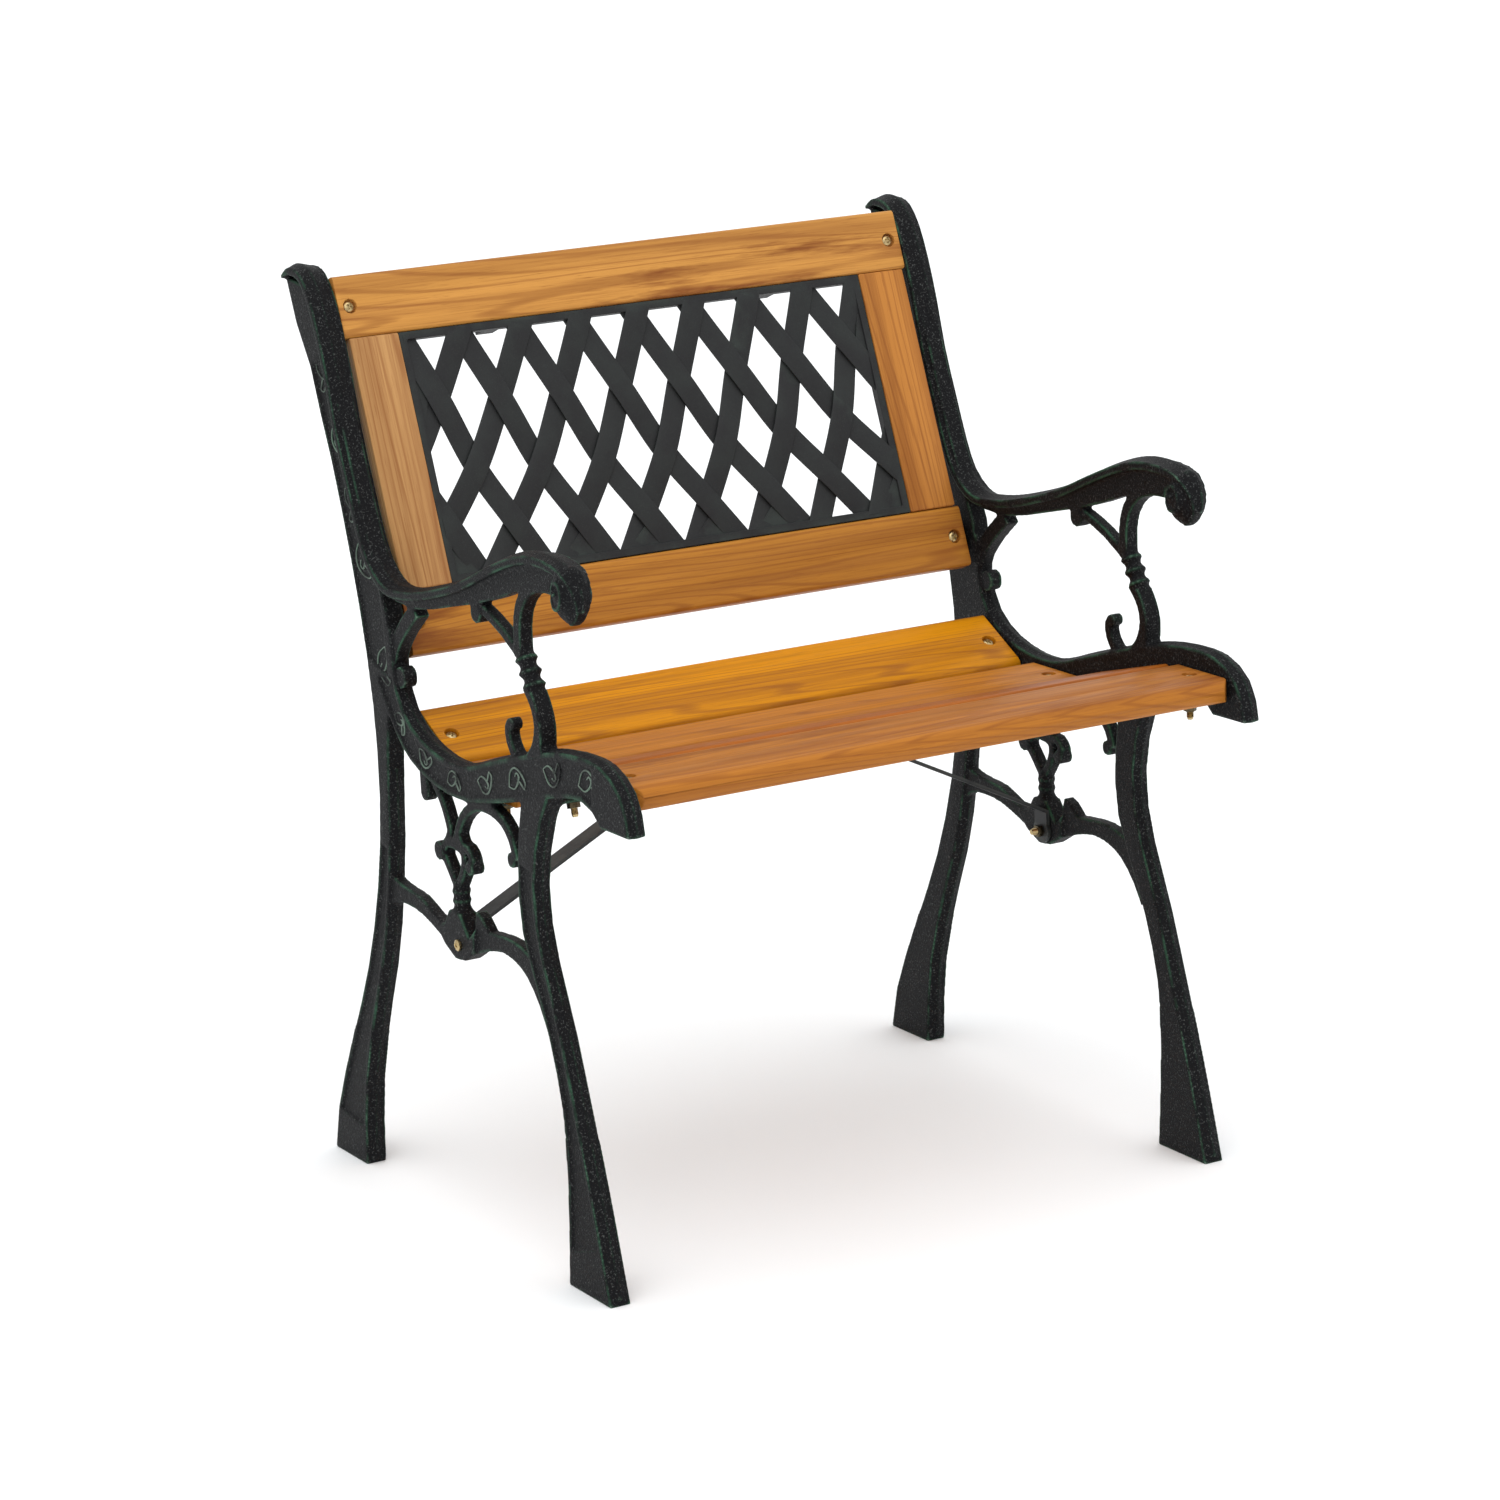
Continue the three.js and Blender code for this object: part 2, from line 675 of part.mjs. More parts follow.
for (const slat of seat_slats) {
  const frame = slat_frame(slat);
  const width = slat.width * depth_scale;
  const front = slat.name.endsWith('front');
  let solid = timber_member(frame, width, seat_half_length, slat.front_radius, timber_edge_radius);
  solid = drill_for_bolts(solid, frame);
  if (front) solid = cut_front_corners(solid, frame, width);
  if (slat.name === 'seat_slat_second') {
    solid = solid.subtract(strap_screw_hole(-1)).subtract(strap_screw_hole(1));
  }
  add_mesh(slat.name, to_geometry(solid), timber);
}

const rails = [
  { name: 'back_top_rail', frame: top_rail_frame, width: top_rail_width, toward_stile: -1 },
  { name: 'back_bottom_rail', frame: bottom_rail_frame, width: bottom_rail_width, toward_stile: 1 },
];
const stile_centre = stile_inner_half + stile_width / 2;

function mortise(rail, side) {
  const size = new THREE.Vector3(
    tenon_width + part_gap * 2,
    (tenon_length + part_gap) * 2,
    tenon_thickness + part_gap * 2,
  );
  const across = rail.toward_stile * rail.width / 2;
  return box_solid(size, frame_matrix(rail.frame, side * stile_centre, across, -timber_thickness / 2));
}

for (const rail of rails) {
  let solid = timber_member(rail.frame, rail.width, back_half_length, timber_edge_radius, timber_edge_radius);
  solid = drill_for_bolts(solid, rail.frame);
  for (const side of [-1, 1]) {
    solid = solid.subtract(mortise(rail, side));
    solid = solid.subtract(ear_screw_hole(side, rail.toward_stile));
  }
  add_mesh(rail.name, to_geometry(solid), timber);
}

for (const [name, side] of [['back_stile_left', -1], ['back_stile_right', 1]]) {
  const stile_length = opening_height - part_gap * 2;
  const body = new THREE.Vector3(stile_width, stile_length, timber_thickness);
  const middle = -timber_thickness / 2;
  let solid = box_solid(body, frame_matrix(opening_frame, side * stile_centre, 0, middle));
  const tenon = new THREE.Vector3(tenon_width, stile_length + tenon_length * 2, tenon_thickness);
  solid = solid.add(box_solid(tenon, frame_matrix(opening_frame, side * stile_centre, 0, middle)));
  add_mesh(name, to_geometry(solid), timber);
}

// ---------- lattice ----------

// The rows sag in the middle and the holes lean outward toward the ends.
function lattice_hole(row, place_along) {
  const lean = 0.0006;
  const stretch = opening_height / lattice_drawn_height;
  const x = place_along * row.pitch;
  const corner = (dx, dy) => {
    const at_x = x + dx;
    const rise = lattice_bow * at_x * at_x;
    const height = (row.height + dy + rise) * stretch;
    return new THREE.Vector2(at_x + dy * at_x * lean, height - opening_height / 2);
  };
  return [
    corner(0, row.half_tall), corner(-row.half_wide, 0), corner(0, -row.half_tall), corner(row.half_wide, 0),
  ];
}

function lattice_cut(hole) {
  const depth = timber_thickness * 2;
  const prism = new THREE.ExtrudeGeometry(new THREE.Shape(hole), { depth, steps: 1, bevelEnabled: false });
  prism.translate(0, 0, -depth);
  prism.applyMatrix4(frame_matrix(opening_frame, 0, 0, depth / 2));
  return to_solid(prism);
}

function lattice_geometry() {
  const half_wide = stile_inner_half - lattice_gap;
  const half_tall = opening_height / 2 - lattice_gap;
  const depth_middle = (thickness) => -lattice_setback - thickness / 2;
  const rim_size = new THREE.Vector3(half_wide * 2, half_tall * 2, lattice_rim_thickness);
  const hollow_size = new THREE.Vector3(
    rim_size.x - lattice_rim_width * 2, rim_size.y - lattice_rim_width * 2, lattice_rim_thickness * 2);
  const rim_middle = depth_middle(lattice_rim_thickness);
  let solid = box_solid(rim_size, frame_matrix(opening_frame, 0, 0, rim_middle));
  solid = solid.subtract(box_solid(hollow_size, frame_matrix(opening_frame, 0, 0, rim_middle)));

  const inner_wide = half_wide - lattice_rim_width;
  const inner_tall = half_tall - lattice_rim_width;
  const sheet_size = new THREE.Vector3(inner_wide * 2 + 2, inner_tall * 2 + 2, lattice_strip_thickness);
  const sheet_middle = depth_middle(lattice_strip_thickness) - lattice_sheet_step;
  let sheet = box_solid(sheet_size, frame_matrix(opening_frame, 0, 0, sheet_middle));
  for (const row of lattice_rows) {
    for (let k = -lattice_row_reach; k <= lattice_row_reach; k += 1) {
      const middle = Math.abs((k + row.shift) * row.pitch);
      if (middle >= row.open_from && middle <= inner_wide - lattice_hole_margin) {
        sheet = sheet.subtract(lattice_cut(lattice_hole(row, k + row.shift)));
      }
    }
  }
  solid = solid.add(sheet);

  for (const side of [-1, 1]) {
    for (const end of [-1, 1]) {
      solid = solid.add(lattice_ear_solid(side, end));
      solid = solid.subtract(ear_screw_rod(side, end, strap_screw_radius + part_gap));
    }
  }
  return to_geometry(solid);
}

// Ears behind the rails take one screw each.
function lattice_ear_solid(side, end) {
  const half_tall = opening_height / 2;
  const bridge_depth = timber_thickness + part_gap + lattice_ear_thickness - lattice_setback;
  const inner = half_tall - lattice_gap - lattice_rim_width;
  const upright = new THREE.Vector3(lattice_ear, lattice_rim_width, bridge_depth);
  const x = side * ear_x;
  const upright_at = frame_matrix(
    opening_frame, x, end * (inner + lattice_rim_width / 2), -lattice_setback - bridge_depth / 2);
  const tongue = new THREE.Vector3(lattice_ear, lattice_rim_width + lattice_ear, lattice_ear_thickness);
  const tongue_out = -timber_thickness - part_gap - lattice_ear_thickness / 2;
  const tongue_at = frame_matrix(opening_frame, x, end * (inner + tongue.y / 2), tongue_out);
  return box_solid(upright, upright_at).add(box_solid(tongue, tongue_at));
}

add_mesh('back_lattice', lattice_geometry(), black_lattice);

// ---------- brace straps ----------

function strap_geometry() {
  const at = place(boss_bolt);
  const y = boss_bolt[0] * depth_scale;
  const outer = frame_inner - part_gap;
  const slat_under = place(seat_slats[1].centre).y - timber_thickness - part_gap;
  const rise_start = at.y + strap_rise_start;
  const line = [
    new THREE.Vector2(outer - strap_thickness / 2, at.y),
    new THREE.Vector2(outer - strap_thickness / 2, rise_start),
    new THREE.Vector2(strap_top_outer, slat_under - strap_thickness / 2),
    new THREE.Vector2(strap_top_inner, slat_under - strap_thickness / 2),
  ];
  const outline = mitred_strip(line, strap_thickness);
  const shape = new THREE.Shape(outline);
  const bar = new THREE.ExtrudeGeometry(shape, { depth: strap_width, steps: 1, bevelEnabled: false });
  bar.rotateX(Math.PI / 2);
  bar.translate(0, y + strap_width / 2, 0);
  let solid = to_solid(bar);
  const disc_from = new THREE.Vector3(outer - strap_thickness, y, at.y);
  const disc_to = new THREE.Vector3(outer, y, at.y);
  solid = solid.add(rod_between(disc_from, disc_to, strap_disc_radius, 16));
  solid = solid.subtract(boss_hole());
  const slat = slat_frame(seat_slats[1]);
  const low = new THREE.Vector3(strap_screw_x, y, slat.origin.z - timber_thickness - 8);
  const high = new THREE.Vector3(strap_screw_x, y, slat.origin.z - timber_thickness + 2);
  solid = solid.subtract(rod_between(low, high, strap_screw_radius + part_gap, 8));
  return to_geometry(solid);
}

// Constant-thickness strip with mitred bends.
function mitred_strip(line, thickness) {
  const left = [];
  const right = [];
  line.forEach((point, i) => {
    const before = line[Math.max(i - 1, 0)];
    const after = line[Math.min(i + 1, line.length - 1)];
    const into = i === 0 ? after.clone().sub(point) : point.clone().sub(before);
    const out_of = i === line.length - 1 ? into.clone() : after.clone().sub(point);
    into.normalize();
    out_of.normalize();
    const along = into.clone().add(out_of).normalize();
    const side = new THREE.Vector2(-along.y, along.x);
    const stretch = 1 / Math.max(along.dot(into), 0.3);
    left.push(point.clone().addScaledVector(side, stretch * thickness / 2));
    right.push(point.clone().addScaledVector(side, -stretch * thickness / 2));
  });
  return [...left, ...right.reverse()];
}

const right_strap = strap_geometry();
add_mesh('brace_strap_right', right_strap, strap_steel);
add_mesh('brace_strap_left', mirror_geometry(right_strap), strap_steel);

// ---------- fasteners ----------

// A dome-headed bolt along its own +Z, head up, with the underside of the head at the origin.
function bolt_geometry(shank_length) {
  const profile = [
    [0, bolt_head_height], [bolt_head_radius * 0.55, bolt_head_height],
    [bolt_head_radius * 0.9, bolt_head_height * 0.62], [bolt_head_radius, bolt_head_height * 0.25],
    [bolt_head_radius, 0], [bolt_radius, 0], [bolt_radius, 1 - shank_length],
    [bolt_radius - 0.8, -shank_length], [0, -shank_length],
  ];
  return lathe_along_z(profile);
}

function nut_geometry() {
  const hole = bolt_radius + part_gap;
  const outer = new THREE.CylinderGeometry(nut_radius, nut_radius, nut_height, 6);
  const inner = new THREE.CylinderGeometry(hole, hole, nut_height * 2, round_sides);
  const geometry = to_geometry(to_solid(outer).subtract(to_solid(inner)));
  geometry.rotateX(Math.PI / 2);
  return geometry;
}

function screw_geometry(length) {
  const head_radius = 4;
  const head_height = 2.2;
  const profile = [
    [0, head_height], [head_radius * 0.7, head_height * 0.8], [head_radius, 0],
    [strap_screw_radius, 0], [strap_screw_radius, 4 - length], [0, -length],
  ];
  return lathe_along_z(profile);
}

function lathe_along_z(profile) {
  const points = profile.map(([radius, height]) => new THREE.Vector2(radius, height));
  const geometry = new THREE.LatheGeometry(points.reverse(), round_sides);
  geometry.rotateX(Math.PI / 2);
  return geometry;
}

function stand_along(geometry, origin, direction) {
  const turned = geometry.clone();
  const turn = new THREE.Quaternion().setFromUnitVectors(new THREE.Vector3(0, 0, 1), direction);
  turned.applyQuaternion(turn);
  turned.translate(origin.x, origin.y, origin.z);
  return turned;
}

function clean(geometry) {
  return to_geometry(to_solid(geometry));
}

function add_bolt_and_nut(name, frame, side) {
  const x = side * bolt_x;
  const head_seat = frame_point(frame, x, 0, -counterbore_depth + part_gap);
  const nut_top = -timber_thickness - part_gap * 2 - lug_thickness;
  const nut_middle = frame_point(frame, x, 0, nut_top - nut_height / 2);
  const shank = -counterbore_depth + part_gap - (nut_top - nut_height) + bolt_tail;
  add_mesh(`bolt_${name}`, clean(stand_along(bolt_geometry(shank), head_seat, frame.normal)), zinc_brass);
  add_mesh(`nut_${name}`, clean(stand_along(nut_geometry(), nut_middle, frame.normal)), zinc_brass);
}

const sides = [['left', -1], ['right', 1]];

for (const [side_name, side] of sides) {
  seat_slats.forEach((slat) => {
    add_bolt_and_nut(`${slat.name.replace('_slat', '')}_${side_name}`, slat_frame(slat), side);
  });
  add_bolt_and_nut(`back_top_${side_name}`, top_rail_frame, side);
  add_bolt_and_nut(`back_bottom_${side_name}`, bottom_rail_frame, side);

  const at = place(boss_bolt);
  const outward = new THREE.Vector3(side, 0, 0);
  const head_x = frame_outer + part_gap;
  const nut_x = frame_inner - part_gap * 2 - strap_thickness - nut_height / 2;
  const shank = head_x - nut_x + nut_height / 2 + brace_bolt_tail;
  const head_seat = new THREE.Vector3(side * head_x, at.x, at.y);
  const nut_middle = new THREE.Vector3(side * nut_x, at.x, at.y);
  const boss_bolt_geometry = stand_along(bolt_geometry(shank), head_seat, outward);
  add_mesh(`bolt_brace_${side_name}`, clean(boss_bolt_geometry), zinc_brass);
  add_mesh(`nut_brace_${side_name}`, clean(stand_along(nut_geometry(), nut_middle, outward)), zinc_brass);

  const slat = slat_frame(seat_slats[1]);
  const strap_under = slat.origin.z - timber_thickness - part_gap * 2 - strap_thickness;
  const screw_seat = new THREE.Vector3(side * strap_screw_x, boss_bolt[0] * depth_scale, strap_under);
  const down = new THREE.Vector3(0, 0, -1);
  const strap_screw = stand_along(screw_geometry(strap_screw_length), screw_seat, down);
  add_mesh(`screw_brace_${side_name}`, clean(strap_screw), zinc_brass);
}

// ---------- lattice screws ----------

function ear_screw_seat(side, end) {
  const across = end * (opening_height / 2 + lattice_ear * 0.45);
  const out = -timber_thickness - part_gap * 2 - lattice_ear_thickness;
  return frame_point(opening_frame, side * ear_x, across, out);
}

function ear_screw_rod(side, end, radius) {
  const seat = ear_screw_seat(side, end);
  const start = seat.clone().addScaledVector(back_normal, -5);
  const tip = seat.clone().addScaledVector(back_normal, strap_screw_length + 1);
  return rod_between(start, tip, radius, 8);
}

function ear_screw_hole(side, toward_stile) {
  return ear_screw_rod(side, -toward_stile, strap_screw_radius + part_gap);
}

for (const [side_name, side] of sides) {
  for (const [end_name, end] of [['top', 1], ['bottom', -1]]) {
    const backward = back_normal.clone().negate();
    const screw = stand_along(screw_geometry(strap_screw_length), ear_screw_seat(side, end), backward);
    add_mesh(`screw_lattice_${end_name}_${side_name}`, clean(screw), zinc_brass);
  }
}

export default bench;
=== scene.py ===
import math

import bmesh
import bpy
import numpy as np
from bpy.props import FloatProperty, FloatVectorProperty, PointerProperty
from mathutils import Matrix, Vector


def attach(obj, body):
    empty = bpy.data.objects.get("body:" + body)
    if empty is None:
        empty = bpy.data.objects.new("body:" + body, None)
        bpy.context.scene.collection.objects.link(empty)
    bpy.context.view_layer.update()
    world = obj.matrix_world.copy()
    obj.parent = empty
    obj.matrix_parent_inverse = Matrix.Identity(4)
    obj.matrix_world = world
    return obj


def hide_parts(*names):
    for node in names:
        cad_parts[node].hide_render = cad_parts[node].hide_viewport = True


bl_info = {
    "name": "Garden Bench",
    "version": (1, 0, 0),
    "blender": (4, 5, 0),
    "location": "View3D > Sidebar > Bench",
    "description": "Dresses the solids of a small garden bench with castings, timber and fittings",
    "category": "Object",
}

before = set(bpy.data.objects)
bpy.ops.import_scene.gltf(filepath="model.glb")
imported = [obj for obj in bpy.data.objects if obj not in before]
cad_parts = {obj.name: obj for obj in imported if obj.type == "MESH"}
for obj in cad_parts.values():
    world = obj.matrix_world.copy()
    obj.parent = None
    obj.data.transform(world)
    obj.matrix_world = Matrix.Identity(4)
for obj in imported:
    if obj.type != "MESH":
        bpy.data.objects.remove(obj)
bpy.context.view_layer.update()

MM = 0.001
SIDES = (("left", -1), ("right", 1))
FRAME_CENTRE = 280
BAND_WIDTH = 16
RELIEF_DEPTH = 2
LEAF_LINE_RADIUS = 0.85
RIM_HALF_WIDTH = 12.0

# Where the rim starts to narrow toward the end of the arm, and how much of it is left.
RIM_TAPER_DEPTH = -170
RIM_TAPER_TOP = 574
RIM_TAPER_FALL = 34
RIM_TAPER_LOSS = 0.65

# Half widths of a leg in millimetres, and the heights that they belong to.
FOOT_HALF_WIDTH = 9.25
WAIST_HALF_WIDTH = 7.5
SHOULDER_HALF_WIDTH = 8.0
WAIST_HEIGHT = 250
SHOULDER_HEIGHT = 400

# Edges of the casting in millimetres, as (depth, height), from the top or the rear onward.
FLANGE_LINE = (
    (269, 748), (258, 755.5), (244, 756.5), (230, 751.5), (216, 735), (203, 707), (191, 672),
    (180, 632), (165, 593), (150, 556), (137, 533), (118, 518.5), (98, 514.5), (60, 518.5),
    (20, 527.5), (-20, 539), (-60, 555), (-100, 570), (-135, 579), (-166, 580),
    (-192, 574.5), (-206.5, 560), (-206.5, 545),
)
RAIL_TOP = (
    (111, 480), (108, 440), (98, 417), (76, 401), (46, 391.5), (14, 388), (-16, 391), (-60, 404.5),
    (-110, 418.5), (-160, 430.5), (-200, 435), (-232, 433.5), (-256, 423), (-269, 407), (-274, 385.5),
)
RAIL_BOTTOM = (
    (163, 480), (150, 448), (128, 414), (101, 384), (70, 369), (30, 361), (-10, 361), (-60, 370),
    (-115, 383), (-165, 395.5), (-200, 400), (-220, 394.5), (-231, 385),
)
LEG_FRONT = (
    (-146, 394), (-130, 364), (-118, 326), (-117, 292), (-128, 252), (-147, 208), (-164, 158),
    (-179, 112), (-195, 60), (-211, 5),
)
REAR_LEG_FRONT = (
    (130, 360), (133, 310), (143, 250), (158, 196), (180, 144), (200, 92), (209, 50), (213, 5),
)

# End of the arm in millimetres: depth, height, half its depth and half its height.
SCROLL_END = (-188, 555, 17, 21)
SCROLL_HALF_WIDTH = 12.5
COIL_RADIUS = 1.9
COIL_LIFT = 1.2

# Lattice rows from the top down, in millimetres above the bottom rail.
ROW_HEIGHTS = (255, 199.6, 140.6, 84, 34.5, -12)
ROW_PITCHES = (53, 54.5, 55.9, 58.2, 60.2, 62)
ROW_SAG = 0.00029

# Edges of the back post's outer face, from the top down.
POST_FRONT = (
    (220, 742), (203, 700), (182, 650), (162, 595), (143, 548), (122, 508), (110, 465),
)
POST_REAR = (
    (267, 747), (256, 716), (236, 690), (223, 655), (200, 600), (184, 552), (168, 497),
)


class BenchSettings(bpy.types.PropertyGroup):
    iron_color: FloatVectorProperty(
        name="Iron", description="Colour of the painted castings", subtype="COLOR",
        size=3, min=0, max=1, default=(0.0035, 0.0036, 0.0045))
    patina_color: FloatVectorProperty(
        name="Patina", description="Green that shows on the edges of the castings", subtype="COLOR",
        size=3, min=0, max=1, default=(0.05, 0.15, 0.085))
    timber_color: FloatVectorProperty(
        name="Timber", description="Main colour of the stained boards", subtype="COLOR",
        size=3, min=0, max=1, default=(0.6, 0.26, 0.055))
    timber_dark_color: FloatVectorProperty(
        name="Timber Dark", description="Colour of the dark grain", subtype="COLOR",
        size=3, min=0, max=1, default=(0.2, 0.055, 0.012))
    fitting_color: FloatVectorProperty(
        name="Fittings", description="Colour of the bolts and nuts", subtype="COLOR",
        size=3, min=0, max=1, default=(0.5, 0.38, 0.19))
    casting_voxel: FloatProperty(
        name="Casting Detail", description="Size of the facets of the castings", unit="LENGTH",
        min=0.001, max=0.005, default=0.0014)
    ridge_height: FloatProperty(
        name="Ridge Height", description="Rise of the ridge on the rim", unit="LENGTH",
        min=0.0, max=0.005, default=0.0028)
    board_edge: FloatProperty(
        name="Board Edge", description="Rounding of the board ends", unit="LENGTH",
        min=0.0002, max=0.004, default=0.0014)
    strip_width: FloatProperty(
        name="Strip Width", description="Width of a lattice strip", unit="LENGTH",
        min=0.01, max=0.03, default=0.02)
    strip_thickness: FloatProperty(
        name="Strip Thickness", description="Thickness of a lattice strip", unit="LENGTH",
        min=0.001, max=0.004, default=0.0024)
    weave_rise: FloatProperty(
        name="Weave Rise", description="How far a strip bows over the one it crosses", unit="LENGTH",
        min=0.0, max=0.004, default=0.0017)


class StageSettings(bpy.types.PropertyGroup):
    azimuth: FloatProperty(
        name="Azimuth", description="Direction of the camera round the bench", subtype="ANGLE",
        default=math.radians(-29.9))
    elevation: FloatProperty(
        name="Elevation", description="Height angle of the camera", subtype="ANGLE",
        default=math.radians(13.94))
    roll: FloatProperty(
        name="Roll", description="Tilt of the camera about its own axis", subtype="ANGLE",
        default=math.radians(-2.37))
    distance: FloatProperty(
        name="Distance", description="Distance from the camera to its target", unit="LENGTH",
        default=3.938)
    target: FloatVectorProperty(
        name="Target", description="Point that the camera looks at", subtype="TRANSLATION",
        size=3, default=(0.0, 0.0408, 0.3472))
    lens: FloatProperty(
        name="Lens", description="Focal length in millimetres", min=20, max=300, default=114.7)
    key_power: FloatProperty(
        name="Key Light", description="Power of the main light", unit="POWER", default=14)
    sun_strength: FloatProperty(
        name="Sun", description="Strength of the broad soft light from above",
        min=0, max=5, default=1.05)
    sky_strength: FloatProperty(
        name="Sky", description="Strength of the even surrounding light",
        min=0, max=3, default=0.96)


# ---------- geometry helpers ----------


def link_piece(name, mesh, slot, *replaced):
    piece = bpy.data.objects.new(name, mesh)
    bpy.context.scene.collection.objects.link(piece)
    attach(piece, "root")
    if replaced:
        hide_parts(*replaced)
    return piece


def curve_through(points, steps):
    """Points on a smooth line through the given (depth, height) points, in millimetres."""
    line = []
    last = len(points) - 1
    for i in range(last):
        before = Vector(points[max(i - 1, 0)])
        start = Vector(points[i])
        end = Vector(points[i + 1])
        after = Vector(points[min(i + 2, last)])
        for k in range(steps):
            t = k / steps
            line.append(0.5 * (
                2 * start + (end - before) * t
                + (2 * before - 5 * start + 4 * end - after) * t * t
                + (3 * start - before - 3 * end + after) * t * t * t))
    line.append(Vector(points[last]))
    return line


def even_points(points, count):
    """The same line cut into equal lengths."""
    line = curve_through(points, 12)
    lengths = [0.0]
    for a, b in zip(line, line[1:]):
        lengths.append(lengths[-1] + (b - a).length)
    result = []
    index = 0
    for k in range(count + 1):
        goal = lengths[-1] * k / count
        while index < len(line) - 2 and lengths[index + 1] < goal:
            index += 1
        span = max(lengths[index + 1] - lengths[index], 1e-9)
        result.append(line[index].lerp(line[index + 1], min(1.0, (goal - lengths[index]) / span)))
    return result


def add_sweep(bm, rings):
    """A closed body through a row of equal rings of points."""
    rows = [[bm.verts.new(point) for point in ring] for ring in rings]
    count = len(rows[0])
    for a, b in zip(rows, rows[1:]):
        for i in range(count):
            j = (i + 1) % count
            bm.faces.new((a[i], a[j], b[j], b[i]))
    bm.faces.new(list(reversed(rows[0])))
    bm.faces.new(rows[-1])


def line_sides(line):
    """Unit normals to a (depth, height) line, on its outer side."""
    sides = []
    last = len(line) - 1
    for i in range(last + 1):
        along = (line[min(i + 1, last)] - line[max(i - 1, 0)]).normalized()
        sides.append(Vector((along.y, -along.x)))
    return sides


def rim_half_width(point):
    """Half the width of the rim, which narrows as it curls round the end of the arm."""
    if point.x > RIM_TAPER_DEPTH:
        return RIM_HALF_WIDTH
    fall = max(0.0, min(1.0, (RIM_TAPER_TOP - point.y) / RIM_TAPER_FALL))
    return RIM_HALF_WIDTH * (1 - RIM_TAPER_LOSS * fall)


def leg_half_width(point):
    """Half the width of a leg: narrow at the waist, wider at the foot and the shoulder."""
    height = point.y
    if height < WAIST_HEIGHT:
        return FOOT_HALF_WIDTH - (FOOT_HALF_WIDTH - WAIST_HALF_WIDTH) * height / WAIST_HEIGHT
    share = min(1.0, (height - WAIST_HEIGHT) / (SHOULDER_HEIGHT - WAIST_HEIGHT))
    return WAIST_HALF_WIDTH + (SHOULDER_HALF_WIDTH - WAIST_HALF_WIDTH) * share


RIDGE_SINK = 1.2


def add_ridge(bm, points, half_width_at, height, crest):
    """A low roof along a line of the right-hand casting; crest shifts its peak outward."""
    line = curve_through(points, 4)
    rings = []
    for point, side in zip(line, line_sides(line)):
        ring = []
        low = point - side * RIDGE_SINK
        high = point + side * height
        half_width = half_width_at(point)
        for x, at in ((-half_width, low), (crest * half_width / RIM_HALF_WIDTH, high), (half_width, low)):
            ring.append(Vector((FRAME_CENTRE + x, at.x, at.y)) * MM)
        rings.append(ring)
    add_sweep(bm, rings)


def tube_rings(path, radius, sides, out):
    """Round rings along a path on a face whose outward direction is out."""
    rings = []
    last = len(path) - 1
    for i, point in enumerate(path):
        along = (path[min(i + 1, last)] - path[max(i - 1, 0)]).normalized()
        side = along.cross(out).normalized()
        size = radius * (0.45 + 0.55 * math.sin(math.pi * (i + 0.5) / (last + 1)))
        rings.append([
            point + side * math.cos(2 * math.pi * k / sides) * size
            + out * math.sin(2 * math.pi * k / sides) * size
            for k in range(sides)])
    return rings


def mesh_from(bm, name):
    bmesh.ops.recalc_face_normals(bm, faces=bm.faces)
    mesh = bpy.data.meshes.new(name)
    bm.to_mesh(mesh)
    bm.free()
    return mesh


def finish_smooth(piece, angle=35):
    for face in piece.data.polygons:
        face.use_smooth = True
    edges = piece.modifiers.new("edges", "EDGE_SPLIT")
    edges.split_angle = math.radians(angle)


# ---------- shader helpers ----------


def new_group(name, inputs, outputs):
    group = bpy.data.node_groups.new(name, "ShaderNodeTree")
    for label, kind, default in inputs:
        socket = group.interface.new_socket(name=label, in_out="INPUT", socket_type=kind)
        socket.default_value = default
    for label, kind in outputs:
        group.interface.new_socket(name=label, in_out="OUTPUT", socket_type=kind)
    return group


def add_node(tree, kind, **values):
    node = tree.nodes.new(kind)
    for key, value in values.items():
        setattr(node, key, value)
    return node


def noise_node(tree, vector, scale, detail=4.0, roughness=0.55):
    node = add_node(tree, "ShaderNodeTexNoise")
    node.inputs["Scale"].default_value = scale
    node.inputs["Detail"].default_value = detail
    node.inputs["Roughness"].default_value = roughness
    tree.links.new(vector, node.inputs["Vector"])
    return node.outputs["Fac"]


def ramp_node(tree, value, low, high):
    node = add_node(tree, "ShaderNodeMapRange")
    node.inputs["From Min"].default_value = low
    node.inputs["From Max"].default_value = high
    tree.links.new(value, node.inputs["Value"])
    return node.outputs["Result"]


def math_node(tree, operation, a, b):
    node = add_node(tree, "ShaderNodeMath", operation=operation)
    for socket, value in ((node.inputs[0], a), (node.inputs[1], b)):
        if isinstance(value, (int, float)):
            socket.default_value = value
        else:
            tree.links.new(value, socket)
    return node.outputs[0]


def mix_color(tree, factor, a, b, blend="MIX"):
    node = add_node(tree, "ShaderNodeMix", data_type="RGBA", blend_type=blend)
    for socket, value in ((node.inputs[0], factor), (node.inputs[6], a), (node.inputs[7], b)):
        if isinstance(value, (int, float, tuple)):
            socket.default_value = value
        else:
            tree.links.new(value, socket)
    return node.outputs[2]


